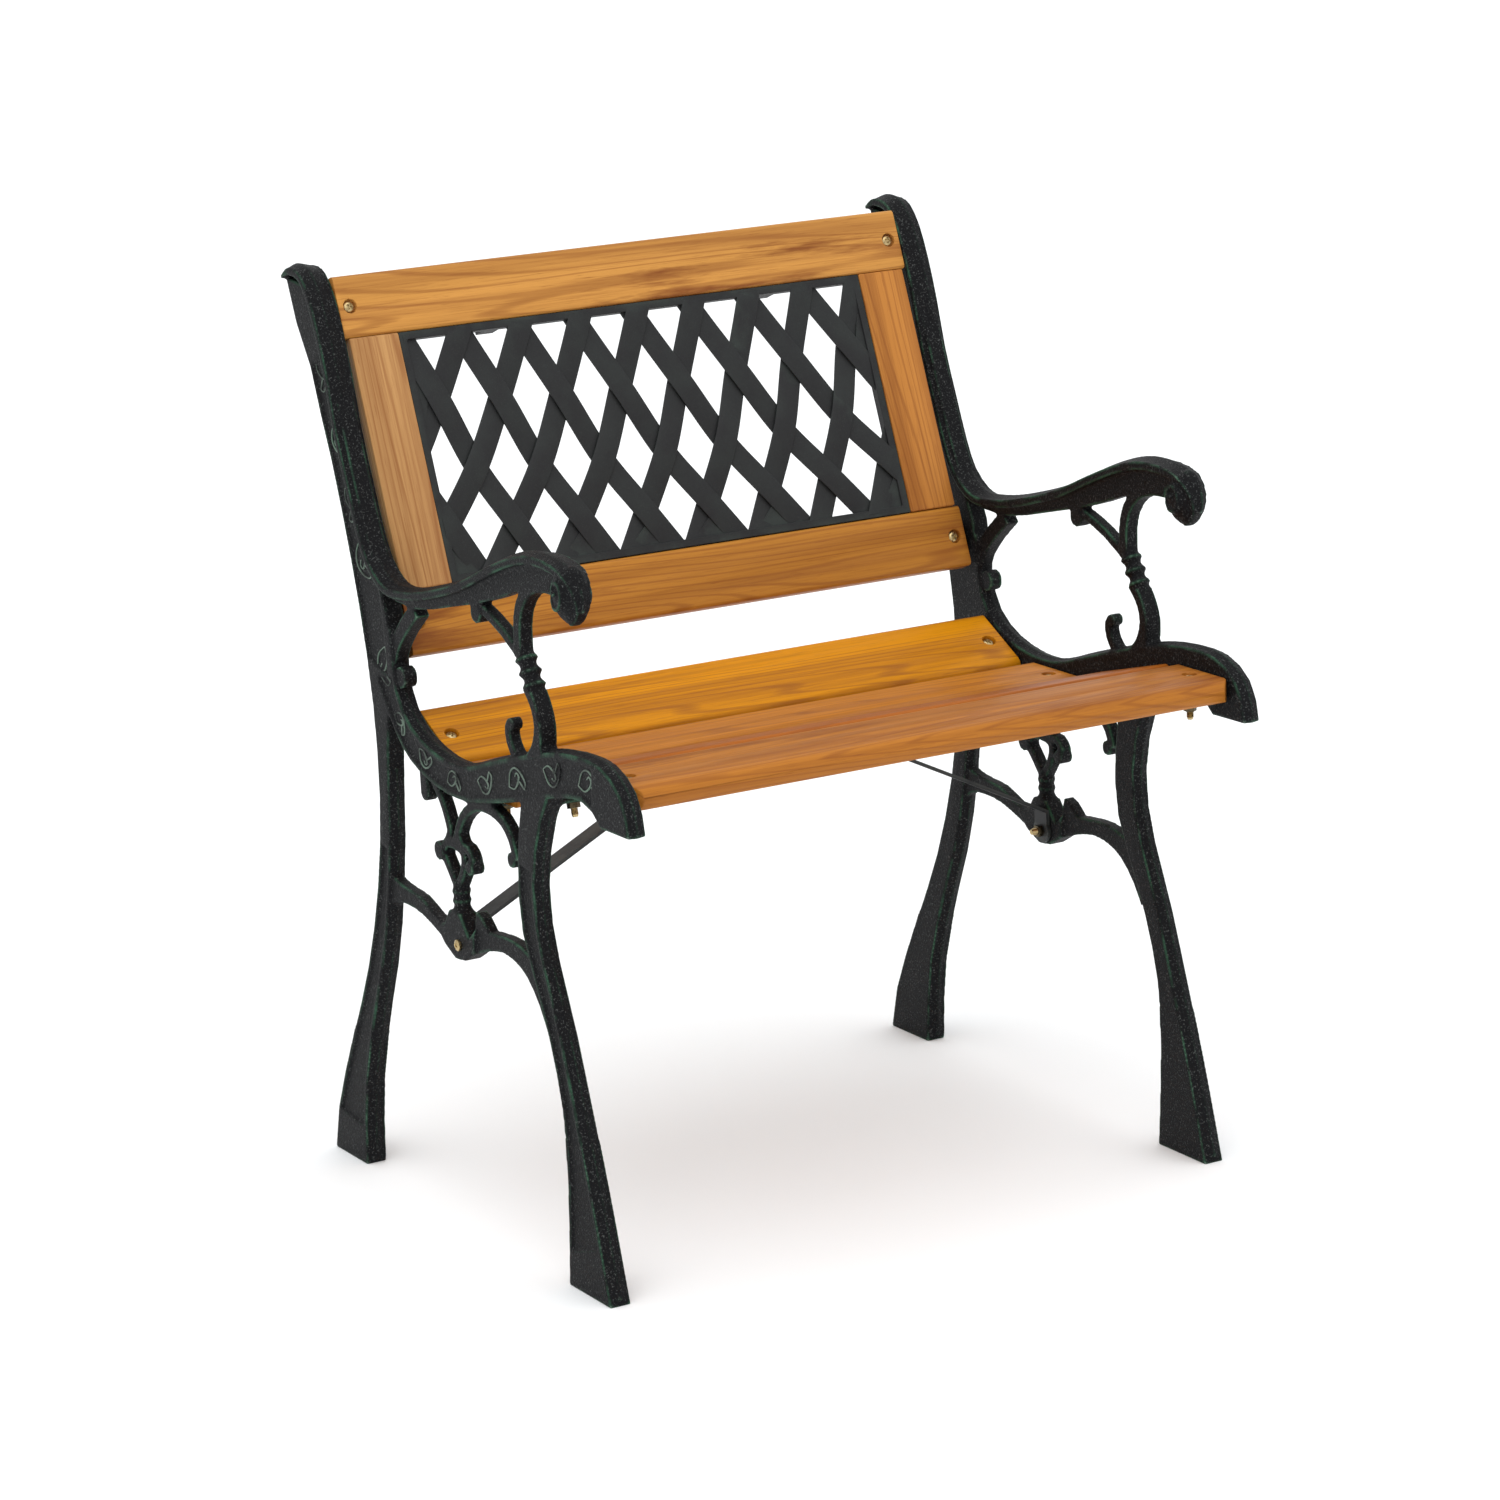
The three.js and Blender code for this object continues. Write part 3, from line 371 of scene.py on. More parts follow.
def casting_group():
    """Sand-cast skin: grains, soft blotches, patina that gathers on edges and a painted highlight along
    the sharpest edges.
    """
    name = "Sand Cast Skin"
    if name in bpy.data.node_groups:
        return bpy.data.node_groups[name]
    group = new_group(
        name,
        (("Base", "NodeSocketColor", (0.012, 0.013, 0.015, 1)),
         ("Patina", "NodeSocketColor", (0.05, 0.16, 0.09, 1)),
         ("Patina Amount", "NodeSocketFloat", 0.8),
         ("Grain Scale", "NodeSocketFloat", 900.0),
         ("Grain Amount", "NodeSocketFloat", 0.5),
         ("Painted Highlight Amount", "NodeSocketFloat", 0.6)),
        (("Color", "NodeSocketColor"), ("Roughness", "NodeSocketFloat"), ("Height", "NodeSocketFloat")))
    start = add_node(group, "NodeGroupInput")
    end = add_node(group, "NodeGroupOutput")
    place = add_node(group, "ShaderNodeTexCoord").outputs["Object"]
    grains = add_node(group, "ShaderNodeTexNoise")
    grains.inputs["Detail"].default_value = 3.0
    grains.inputs["Roughness"].default_value = 0.7
    group.links.new(place, grains.inputs["Vector"])
    group.links.new(start.outputs["Grain Scale"], grains.inputs["Scale"])
    blotches = noise_node(group, place, 38.0, 5.0, 0.6)
    point = add_node(group, "ShaderNodeNewGeometry").outputs["Pointiness"]
    broken = ramp_node(group, blotches, 0.4, 0.62)
    worn = math_node(group, "MULTIPLY", ramp_node(group, point, 0.515, 0.555), broken)
    patina = math_node(group, "MULTIPLY", worn, start.outputs["Patina Amount"])
    # Painted highlight: a pale line on the sharpest edges, broken up by the blotches, stands in for light
    # catching the edges.
    highlight_edges = ramp_node(group, point, 0.545, 0.6)
    crest = math_node(group, "MULTIPLY", highlight_edges, ramp_node(group, blotches, 0.3, 0.5))
    crest = math_node(group, "MULTIPLY", crest, start.outputs["Painted Highlight Amount"])
    speckle = ramp_node(group, grains.outputs["Fac"], 0.56, 0.7)
    lighter = mix_color(group, math_node(group, "MULTIPLY", speckle, start.outputs["Grain Amount"]),
                        start.outputs["Base"], (0.16, 0.17, 0.165, 1))
    greened = mix_color(group, patina, lighter, start.outputs["Patina"])
    # The pale grey-green colour mixed in here is the painted highlight on the sharpest edges.
    group.links.new(mix_color(group, crest, greened, (0.3, 0.36, 0.31, 1)), end.inputs["Color"])
    rough = math_node(group, "MULTIPLY_ADD", grains.outputs["Fac"], 0.3)
    rough.node.inputs[2].default_value = 0.42
    group.links.new(rough, end.inputs["Roughness"])
    group.links.new(grains.outputs["Fac"], end.inputs["Height"])
    return group


def timber_group():
    """Stained board: long growth lines, short dark pores and slow changes of tone."""
    name = "Stained Timber"
    if name in bpy.data.node_groups:
        return bpy.data.node_groups[name]
    group = new_group(
        name,
        (("Light", "NodeSocketColor", (0.58, 0.24, 0.055, 1)),
         ("Dark", "NodeSocketColor", (0.27, 0.085, 0.018, 1)),
         ("Grain Turn", "NodeSocketVector", (0, 0, 0)),
         ("Board", "NodeSocketVector", (0, 0, 0)),
         ("Streaks", "NodeSocketFloat", 0.5)),
        (("Color", "NodeSocketColor"), ("Roughness", "NodeSocketFloat"), ("Height", "NodeSocketFloat")))
    start = add_node(group, "NodeGroupInput")
    end = add_node(group, "NodeGroupOutput")
    place = add_node(group, "ShaderNodeTexCoord").outputs["Object"]
    turned = add_node(group, "ShaderNodeMapping")
    group.links.new(place, turned.inputs["Vector"])
    group.links.new(start.outputs["Grain Turn"], turned.inputs["Rotation"])
    group.links.new(start.outputs["Board"], turned.inputs["Location"])

    def along_grain(length_scale, cross_scale):
        node = add_node(group, "ShaderNodeMapping")
        node.inputs["Scale"].default_value = (length_scale, cross_scale, cross_scale)
        group.links.new(turned.outputs["Vector"], node.inputs["Vector"])
        return node.outputs["Vector"]

    tone = noise_node(group, along_grain(1.6, 14), 1.0, 3.0)
    growth = noise_node(group, along_grain(1.5, 75), 1.0, 5.0, 0.6)
    fibre = noise_node(group, along_grain(18, 900), 1.0, 3.0, 0.65)
    pores = noise_node(group, along_grain(45, 1500), 1.0, 2.0, 0.5)
    figure = noise_node(group, along_grain(3.0, 26), 1.0, 6.0, 0.65)
    soft = math_node(group, "MULTIPLY", ramp_node(group, growth, 0.42, 0.6), 0.42)
    base = mix_color(group, soft, start.outputs["Light"], start.outputs["Dark"])
    shade = ramp_node(group, tone, 0.25, 0.75)
    shaded = mix_color(group, shade, (0.62, 0.6, 0.58, 1), (1, 1, 1, 1))
    tinted = mix_color(group, 0.35, base, shaded, "MULTIPLY")
    streak = math_node(group, "MULTIPLY", ramp_node(group, figure, 0.57, 0.66), start.outputs["Streaks"])
    rings = noise_node(group, along_grain(0.8, 13), 1.0, 2.0, 0.35)
    waves = math_node(group, "SINE", math_node(group, "MULTIPLY", rings, 240.0), 0.0)
    lines = math_node(group, "MULTIPLY", ramp_node(group, waves, 0.55, 1.0), 0.42)
    lined = mix_color(group, lines, tinted, start.outputs["Dark"])
    streaked = mix_color(group, streak, lined, start.outputs["Dark"])
    fine = math_node(group, "MULTIPLY", ramp_node(group, fibre, 0.5, 0.68), 0.3)
    fibred = mix_color(group, fine, streaked, start.outputs["Dark"])
    pore = math_node(group, "MULTIPLY", ramp_node(group, pores, 0.64, 0.74), 0.5)
    group.links.new(mix_color(group, pore, fibred, start.outputs["Dark"]), end.inputs["Color"])
    rough = math_node(group, "MULTIPLY_ADD", fibre, 0.22)
    rough.node.inputs[2].default_value = 0.38
    group.links.new(rough, end.inputs["Roughness"])
    group.links.new(math_node(group, "SUBTRACT", fibre, pore), end.inputs["Height"])
    return group


def metal_wear_group():
    """Handled plated metal: faint stains and a fine unevenness."""
    name = "Plated Wear"
    if name in bpy.data.node_groups:
        return bpy.data.node_groups[name]
    group = new_group(
        name,
        (("Base", "NodeSocketColor", (0.72, 0.58, 0.3, 1)),
         ("Stain", "NodeSocketColor", (0.2, 0.13, 0.06, 1))),
        (("Color", "NodeSocketColor"), ("Roughness", "NodeSocketFloat"), ("Height", "NodeSocketFloat")))
    start = add_node(group, "NodeGroupInput")
    end = add_node(group, "NodeGroupOutput")
    place = add_node(group, "ShaderNodeTexCoord").outputs["Object"]
    stain = noise_node(group, place, 420.0, 4.0, 0.6)
    fine = noise_node(group, place, 2600.0, 2.0, 0.5)
    amount = math_node(group, "MULTIPLY", ramp_node(group, stain, 0.5, 0.72), 0.7)
    stained = mix_color(group, amount, start.outputs["Base"], start.outputs["Stain"])
    group.links.new(stained, end.inputs["Color"])
    rough = math_node(group, "MULTIPLY_ADD", stain, 0.35)
    rough.node.inputs[2].default_value = 0.16
    group.links.new(rough, end.inputs["Roughness"])
    group.links.new(fine, end.inputs["Height"])
    return group


def skin_material(name, group, values, metallic, coat, specular, bump_distance, bump_strength):
    """A Principled material whose colour, roughness and bump come from one shared group."""
    if name in bpy.data.materials:
        return bpy.data.materials[name]
    material = bpy.data.materials.new(name)
    material.use_nodes = True
    tree = material.node_tree
    surface = tree.nodes["Principled BSDF"]
    surface.inputs["Metallic"].default_value = metallic
    surface.inputs["Specular IOR Level"].default_value = specular
    surface.inputs["Coat Weight"].default_value = coat
    surface.inputs["Coat Roughness"].default_value = 0.22
    skin = add_node(tree, "ShaderNodeGroup", node_tree=group)
    for key, value in values.items():
        skin.inputs[key].default_value = value
    bump = add_node(tree, "ShaderNodeBump")
    bump.inputs["Distance"].default_value = bump_distance
    bump.inputs["Strength"].default_value = bump_strength
    tree.links.new(skin.outputs["Color"], surface.inputs["Base Color"])
    tree.links.new(skin.outputs["Roughness"], surface.inputs["Roughness"])
    tree.links.new(skin.outputs["Height"], bump.inputs["Height"])
    tree.links.new(bump.outputs["Normal"], surface.inputs["Normal"])
    return material


def rgba(color):
    return (color[0], color[1], color[2], 1.0)


def set_material(obj, material):
    obj.data.materials.clear()
    obj.data.materials.append(material)


def iron_material(settings):
    values = {"Base": rgba(settings.iron_color), "Patina": rgba(settings.patina_color),
              "Patina Amount": 0.7, "Grain Scale": 620.0}
    return skin_material("sand cast iron", casting_group(), values, metallic=0.0, coat=0.0,
                         specular=0.11, bump_distance=0.0009, bump_strength=0.9)


def timber_material(settings, node, tint, streaks, grain_turn, board):
    light = tuple(c * t for c, t in zip(settings.timber_color, tint)) + (1.0,)
    values = {"Light": light, "Dark": rgba(settings.timber_dark_color), "Grain Turn": grain_turn,
              "Board": board, "Streaks": streaks}
    return skin_material("timber of " + node, timber_group(), values, metallic=0.0, coat=0.04,
                         specular=0.12, bump_distance=0.00015, bump_strength=0.5)


# ---------- castings ----------


class BENCH_OT_end_frames(bpy.types.Operator):
    """Make the two cast end frames with rounded edges, ridged rims and leaf reliefs"""

    bl_idname = "bench.end_frames"
    bl_label = "End Frames"

    def execute(self, context):
        settings = context.scene.bench
        iron = iron_material(settings)
        for side_name, sign in SIDES:
            self.casting(settings, side_name, sign, iron)
            self.leaves(settings, side_name, sign, iron)
        return {"FINISHED"}

    def casting(self, settings, side_name, sign, iron):
        node = "end_frame_" + side_name
        bm = bmesh.new()
        bm.from_mesh(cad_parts[node].data)
        bmesh.ops.remove_doubles(bm, verts=bm.verts, dist=1e-6)
        extra = bmesh.new()
        rise = settings.ridge_height / MM
        add_ridge(extra, FLANGE_LINE, rim_half_width, rise, 2.6)
        add_ridge(extra, RAIL_TOP, lambda point: BAND_WIDTH / 2, rise * 0.8, 0.5)
        add_ridge(extra, LEG_FRONT, leg_half_width, rise * 0.8, 0.5)
        add_ridge(extra, REAR_LEG_FRONT, leg_half_width, rise * 0.8, 0.5)
        depth, height, half_depth, half_height = SCROLL_END
        place = Matrix.Translation(Vector((FRAME_CENTRE, depth, height)) * MM)
        shape = Matrix.Diagonal((SCROLL_HALF_WIDTH, half_depth, half_height, 1))
        bmesh.ops.create_uvsphere(extra, u_segments=28, v_segments=16, radius=MM, matrix=place @ shape)
        self.spiral(extra, 1)
        self.spiral(extra, -1)
        if sign < 0:
            bmesh.ops.scale(extra, vec=(-1, 1, 1), verts=extra.verts)
        bmesh.ops.recalc_face_normals(extra, faces=extra.faces)
        helper = bpy.data.meshes.new("ridges")
        extra.to_mesh(helper)
        extra.free()
        bm.from_mesh(helper)
        bpy.data.meshes.remove(helper)
        mesh = bpy.data.meshes.new("cast_frame_" + side_name)
        bm.to_mesh(mesh)
        bm.free()
        piece = link_piece("cast_frame_" + side_name, mesh, "cast_iron", node)
        remesh = piece.modifiers.new("casting", "REMESH")
        remesh.mode = "VOXEL"
        remesh.voxel_size = settings.casting_voxel
        remesh.use_smooth_shade = True
        soften = piece.modifiers.new("soften", "SMOOTH")
        soften.factor = 0.5
        soften.iterations = 2
        set_material(piece, iron)

    def spiral(self, bm, face):
        """A raised coil on one face of the bulb that ends the arm."""
        depth, height, half_depth, half_height = SCROLL_END
        path = []
        steps = 46
        for i in range(steps + 1):
            share = i / steps
            angle = math.radians(110) - share * math.radians(590)
            reach = 0.86 * (1 - 0.84 * share)
            u = math.cos(angle) * reach + 0.16 * share
            v = math.sin(angle) * reach * 0.88 + 0.26 * share
            bulge = SCROLL_HALF_WIDTH * math.sqrt(max(0.0, 1 - u * u - v * v))
            x = FRAME_CENTRE + face * (bulge + COIL_LIFT)
            path.append(Vector((x, depth + u * half_depth, height + v * half_height)) * MM)
        add_sweep(bm, tube_rings(path, COIL_RADIUS * MM, 8, Vector((face, 0, 0))))

    def leaves(self, settings, side_name, sign, iron):
        bm = bmesh.new()
        web = ((POST_FRONT, POST_REAR, 5), (RAIL_TOP, RAIL_BOTTOM, 8))
        out = Vector((sign, 0, 0))
        face = sign * (FRAME_CENTRE + BAND_WIDTH / 2 - RELIEF_DEPTH + 0.25)
        for near, far, count in web:
            lower_edge = even_points(far, 60)
            upper_edge = even_points(near, 300)
            for k in range(count):
                low = lower_edge[round(60 * (k + 0.7) / (count + 0.1))]
                high = min(upper_edge, key=lambda point: (point - low).length)
                self.leaf(bm, (low + high) / 2, high - low, face, out, 1 if k % 2 else -1)
        name = "leaf_reliefs_" + side_name
        piece = link_piece(name, mesh_from(bm, name), "cast_iron")
        finish_smooth(piece, 60)
        set_material(piece, iron)

    def leaf(self, bm, centre, span, face, out, hand):
        across = span.normalized()
        along = Vector((-across.y, across.x))
        size = span.length * 0.27
        outlines = (
            [(-1.5, -0.5), (-0.9, 0.6), (0.0, 0.95), (0.9, 0.5), (1.5, -0.4), (1.2, -0.95)],
            [(-1.5, -0.5), (-0.6, -0.75), (0.2, -0.35), (0.55, 0.2), (0.2, 0.5), (-0.15, 0.25)],
            [(0.5, -0.2), (0.9, -0.6), (1.2, -0.95)],
        )
        for outline in outlines:
            line = curve_through([(u * size, v * size * hand) for u, v in outline], 5)
            path = []
            for point in line:
                flat = centre + along * point.x + across * point.y
                path.append(Vector((face, flat.x, flat.y)) * MM)
            add_sweep(bm, tube_rings(path, LEAF_LINE_RADIUS * MM, 6, out))


# ---------- timber ----------

BOARDS = (
    # node, tint, amount of dark streaks
    ("seat_slat_rear", (1.12, 1.0, 0.04), 0.3),
    ("seat_slat_second", (0.95, 0.8, 0.3), 0.35),
    ("seat_slat_third", (0.66, 0.43, 0.16), 0.7),
    ("seat_slat_front", (0.78, 0.66, 0.4), 0.7),
)
BACK_BOARDS = (
    # node, tint, amount of dark streaks, whether the grain runs up the back
    ("back_top_rail", (1.02, 1.1, 1.15), 0.85, False),
    ("back_bottom_rail", (0.8, 0.76, 0.5), 0.8, False),
    ("back_stile_left", (0.88, 1.12, 2.0), 0.5, True),
    ("back_stile_right", (0.84, 0.78, 0.74), 0.6, True),
)


LEAN_OF_BACK = math.radians(20.5)
BOARD_SHIFT = (1.37, 0.61, 0.29)


def dress_board(settings, node, tint, streaks, upright, number):
    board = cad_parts[node]
    turn = (LEAN_OF_BACK, math.radians(90), 0.0) if upright else (0.0, 0.0, 0.0)
    place = tuple(number * shift for shift in BOARD_SHIFT)
    set_material(board, timber_material(settings, node, tint, streaks, turn, place))
    weld = board.modifiers.new("weld", "WELD")
    weld.merge_threshold = 1e-6
    edges = board.modifiers.new("edges", "BEVEL")
    edges.width = settings.board_edge
    edges.segments = 3
    edges.limit_method = "ANGLE"
    edges.angle_limit = math.radians(45)
    edges.harden_normals = True
    for face in board.data.polygons:
        face.use_smooth = True


class BENCH_OT_seat(bpy.types.Operator):
    """Finish the four seat slats"""

    bl_idname = "bench.seat"
    bl_label = "Seat Slats"

    def execute(self, context):
        for number, (node, tint, streaks) in enumerate(BOARDS):
            dress_board(context.scene.bench, node, tint, streaks, False, number)
        return {"FINISHED"}


class BENCH_OT_back(bpy.types.Operator):
    """Finish the rails and stiles of the back"""

    bl_idname = "bench.back"
    bl_label = "Back Frame"

    def execute(self, context):
        for number, (node, tint, streaks, upright) in enumerate(BACK_BOARDS):
            dress_board(context.scene.bench, node, tint, streaks, upright, number + 5)
        return {"FINISHED"}


def back_plane():
    """Origin at the middle of the opening's foot, then the directions up the back and out of it."""
    rail = [vertex.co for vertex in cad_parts["back_bottom_rail"].data.vertices]
    up = Vector((0, 110.5, 295)).normalized()
    out = Vector((0, -up.z, up.y))
    level = max(co.dot(up) for co in rail)
    face = max(co.dot(out) for co in rail)
    height = min(co.dot(up) for co in [
        vertex.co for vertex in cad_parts["back_top_rail"].data.vertices]) - level
    return up * level + out * face, up, out, height


def add_box(bm, low, high):
    xs, ys, zs = zip(low, high)
    corners = [bm.verts.new((x, y, z)) for x in xs for y in ys for z in zs]
    for quad in ((0, 1, 3, 2), (4, 6, 7, 5), (0, 4, 5, 1), (2, 3, 7, 6), (0, 2, 6, 4), (1, 5, 7, 3)):
        bm.faces.new([corners[i] for i in quad])


class BENCH_OT_lattice(bpy.types.Operator):
    """Weave the lattice insert inside its rim"""

    bl_idname = "bench.lattice"
    bl_label = "Lattice"

    half_wide = 219.6
    rim_width = 6.5
    rim_front = -0.9
    rim_rear = -9.0
    rim_gap = 0.4
    weave_level = -3.4
    web_half_thickness = 0.9
    edge_inset = 3.5
    ear_centre = 132
    ear_half_width = 8
    ear_reach = 16
    ear_rear = -23.3
    ear_front = -20.3

    def execute(self, context):
        settings = context.scene.bench
        origin, up, out, height = back_plane()
        values = {"Base": (0.014, 0.0145, 0.0155, 1), "Patina": (0.1, 0.15, 0.12, 1),
                  "Patina Amount": 0.12, "Grain Scale": 1400.0, "Grain Amount": 0.12, "Painted Highlight Amount": 0.0}
        skin = skin_material("lattice casting", casting_group(), values, metallic=0.0, coat=0.0,
                             specular=0.25, bump_distance=0.0003, bump_strength=0.5)
        turn = Matrix(((1, 0, 0), up, out)).transposed().to_4x4()
        to_bench = Matrix.Translation(origin) @ turn
        tall = height / MM
        rim = bmesh.new()
        self.add_rim(rim, tall)
        bm = bmesh.new()
        for lean in (1, -1):
            for start in range(-10, 11):
                self.add_strip(bm, settings, lean, start, tall)
        for place in (0.5, 1.5, 3.5):
            self.add_web(bm, 5, place, 26, 38, tall)
            self.add_web(bm, 5, -place, 26, 38, tall)
        for row, place in ((2, 4), (4, 4), (3, 4.5), (1, 4.5)):
            self.add_web(bm, row, place, 19, 38, tall)
            self.add_web(bm, row, -place, 19, 38, tall)
        self.place(rim, "lattice_rim", to_bench, skin, "back_lattice")
        self.place(bm, "lattice_strips", to_bench, skin)
        return {"FINISHED"}

    def place(self, bm, name, to_bench, skin, *replaced):
        bmesh.ops.transform(bm, matrix=to_bench @ Matrix.Scale(MM, 4), verts=bm.verts)
        piece = link_piece(name, mesh_from(bm, name), "lattice", *replaced)
        for face in piece.data.polygons:
            face.use_smooth = True
        edges = piece.modifiers.new("edges", "BEVEL")
        edges.width = 0.0006
        edges.segments = 2
        edges.limit_method = "ANGLE"
        edges.angle_limit = math.radians(40)
        edges.harden_normals = True
        set_material(piece, skin)

    def add_rim(self, bm, tall):
        wide = self.half_wide
        rim = self.rim_width
        gap = self.rim_gap
        outer = [(-wide, gap), (wide, gap), (wide, tall - gap), (-wide, tall - gap)]
        inner = [(-wide + rim, gap + rim), (wide - rim, gap + rim),
                 (wide - rim, tall - gap - rim), (-wide + rim, tall - gap - rim)]
        loops = []
        for ring, level in ((outer, self.rim_rear), (outer, self.rim_front),
                            (inner, self.rim_front), (inner, self.rim_rear)):
            loops.append([bm.verts.new((x, y, level)) for x, y in ring])
        for a, b in zip(loops, loops[1:] + loops[:1]):
            for i in range(4):
                j = (i + 1) % 4
                bm.faces.new((a[i], a[j], b[j], b[i]))
        rear = self.ear_rear
        front = self.ear_front
        reach = self.ear_reach
        for side in (-1, 1):
            x_low = side * self.ear_centre - self.ear_half_width
            x_high = side * self.ear_centre + self.ear_half_width
            for low, high in ((gap, rim), (tall - rim, tall - gap)):
                add_box(bm, (x_low, low, rear), (x_high, high, self.rim_rear + 2))
            add_box(bm, (x_low, -reach, rear), (x_high, rim, front))
            add_box(bm, (x_low, tall - rim, rear), (x_high, tall + reach, front))

    def add_web(self, bm, row, place, half_wide, half_tall, tall):
        """A thin wall of metal that closes one of the holes along the bottom and the ends."""
        middle = self.node_point(row, place)
        limit = self.half_wide - self.rim_width / 2
        level = self.weave_level
        if abs(middle.x) - half_wide > limit:
            return
        inset = self.edge_inset
        outline = []
        for across, up in ((0, half_tall), (-half_wide, 0), (0, -half_tall), (half_wide, 0)):
            x = max(-limit, min(limit, middle.x + across))
            y = max(inset, min(tall - inset, middle.y + up))
            outline.append((x, y))
        steps = (-self.web_half_thickness, self.web_half_thickness)
        rows = [[bm.verts.new((x, y, level + step)) for x, y in outline] for step in steps]
        bm.faces.new(rows[1])
        bm.faces.new(list(reversed(rows[0])))
        for i in range(4):
            j = (i + 1) % 4
            bm.faces.new((rows[0][i], rows[0][j], rows[1][j], rows[1][i]))

    def node_point(self, row, place):
        x = place * ROW_PITCHES[row]
        return Vector((x, ROW_HEIGHTS[row] + ROW_SAG * x * x))

    def add_strip(self, bm, settings, lean, start, tall):
        """One strip runs down through the crossings of every row, over one and under the next."""
        rows = range(len(ROW_HEIGHTS))
        crossings = [self.node_point(row, start + lean * row / 2 + 0.5) for row in rows]
        steps = 8
        line = curve_through([tuple(point) for point in crossings], steps)
        half = settings.strip_width / MM / 2
        thick = settings.strip_thickness / MM / 2
        rise = settings.weave_rise / MM
        middle = self.weave_level
        rings = []
        last = len(line) - 1
        for i, point in enumerate(line):
            along = (line[min(i + 1, last)] - line[max(i - 1, 0)]).normalized()
            side = Vector((-along.y, along.x))
            # the strips change places in front at every second row of crossings
            level = middle + lean * rise * math.cos(math.pi * i / steps)
            edge = thick * 0.55
            profile = ((-half, -edge), (-half, edge), (-half + 1.6, thick), (half - 1.6, thick),
                       (half, edge), (half, -edge), (half - 1.6, -thick), (-half + 1.6, -thick))
            rings.append([
                Vector((point.x + side.x * u, point.y + side.y * u, level + w)) for u, w in profile])
        piece = bmesh.new()
        add_sweep(piece, rings)
        limit = self.half_wide - self.rim_width / 2
        cuts = (((limit, 0, 0), (1, 0, 0)), ((-limit, 0, 0), (-1, 0, 0)),
                ((0, tall - self.edge_inset, 0), (0, 1, 0)), ((0, self.edge_inset, 0), (0, -1, 0)))
        for spot, normal in cuts:
            whole = piece.verts[:] + piece.edges[:] + piece.faces[:]
            made = bmesh.ops.bisect_plane(
                piece, geom=whole, plane_co=spot, plane_no=normal, clear_outer=True)
            rims = [item for item in made["geom_cut"] if isinstance(item, bmesh.types.BMEdge)]
            if rims:
                bmesh.ops.holes_fill(piece, edges=rims)
        if piece.faces:
            bmesh.ops.recalc_face_normals(piece, faces=piece.faces)
            cut = bpy.data.meshes.new("strip")
            piece.to_mesh(cut)
            bm.from_mesh(cut)
            bpy.data.meshes.remove(cut)
        piece.free()


class BENCH_OT_braces(bpy.types.Operator):
    """Finish the two brace straps"""

    bl_idname = "bench.braces"
    bl_label = "Brace Straps"

    def execute(self, context):
        # The straps get a faint painted highlight on their sharpest edges.
        values = {"Base": (0.008, 0.008, 0.009, 1), "Patina": (0.05, 0.05, 0.05, 1),
                  "Patina Amount": 0.2, "Grain Scale": 2200.0, "Grain Amount": 0.05,
                  "Painted Highlight Amount": 0.1}
        paint = skin_material("strap paint", casting_group(), values, metallic=0.0, coat=0.1,
                              specular=0.3, bump_distance=0.0001, bump_strength=0.3)
        for side_name, _ in SIDES:
            set_material(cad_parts["brace_strap_" + side_name], paint)
        return {"FINISHED"}


def fitting_axis(node):
    """Centre line of a turned fitting: the seat of its head, the way out of the head, and its reach."""
    points = np.array([vertex.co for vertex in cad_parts[node].data.vertices])
    points = np.unique(points.round(6), axis=0)
    middle = points.mean(axis=0)
    _, _, rows = np.linalg.svd(points - middle, full_matrices=False)
    axis = rows[0]
    along = (points - middle) @ axis
    across = np.linalg.norm(points - middle - np.outer(along, axis), axis=1)
    if along[across.argmax()] < 0:
        axis = -axis
        along = -along
    centre = middle + axis * along.max()
    return Vector(centre), Vector(axis), float(along.max() - along.min())


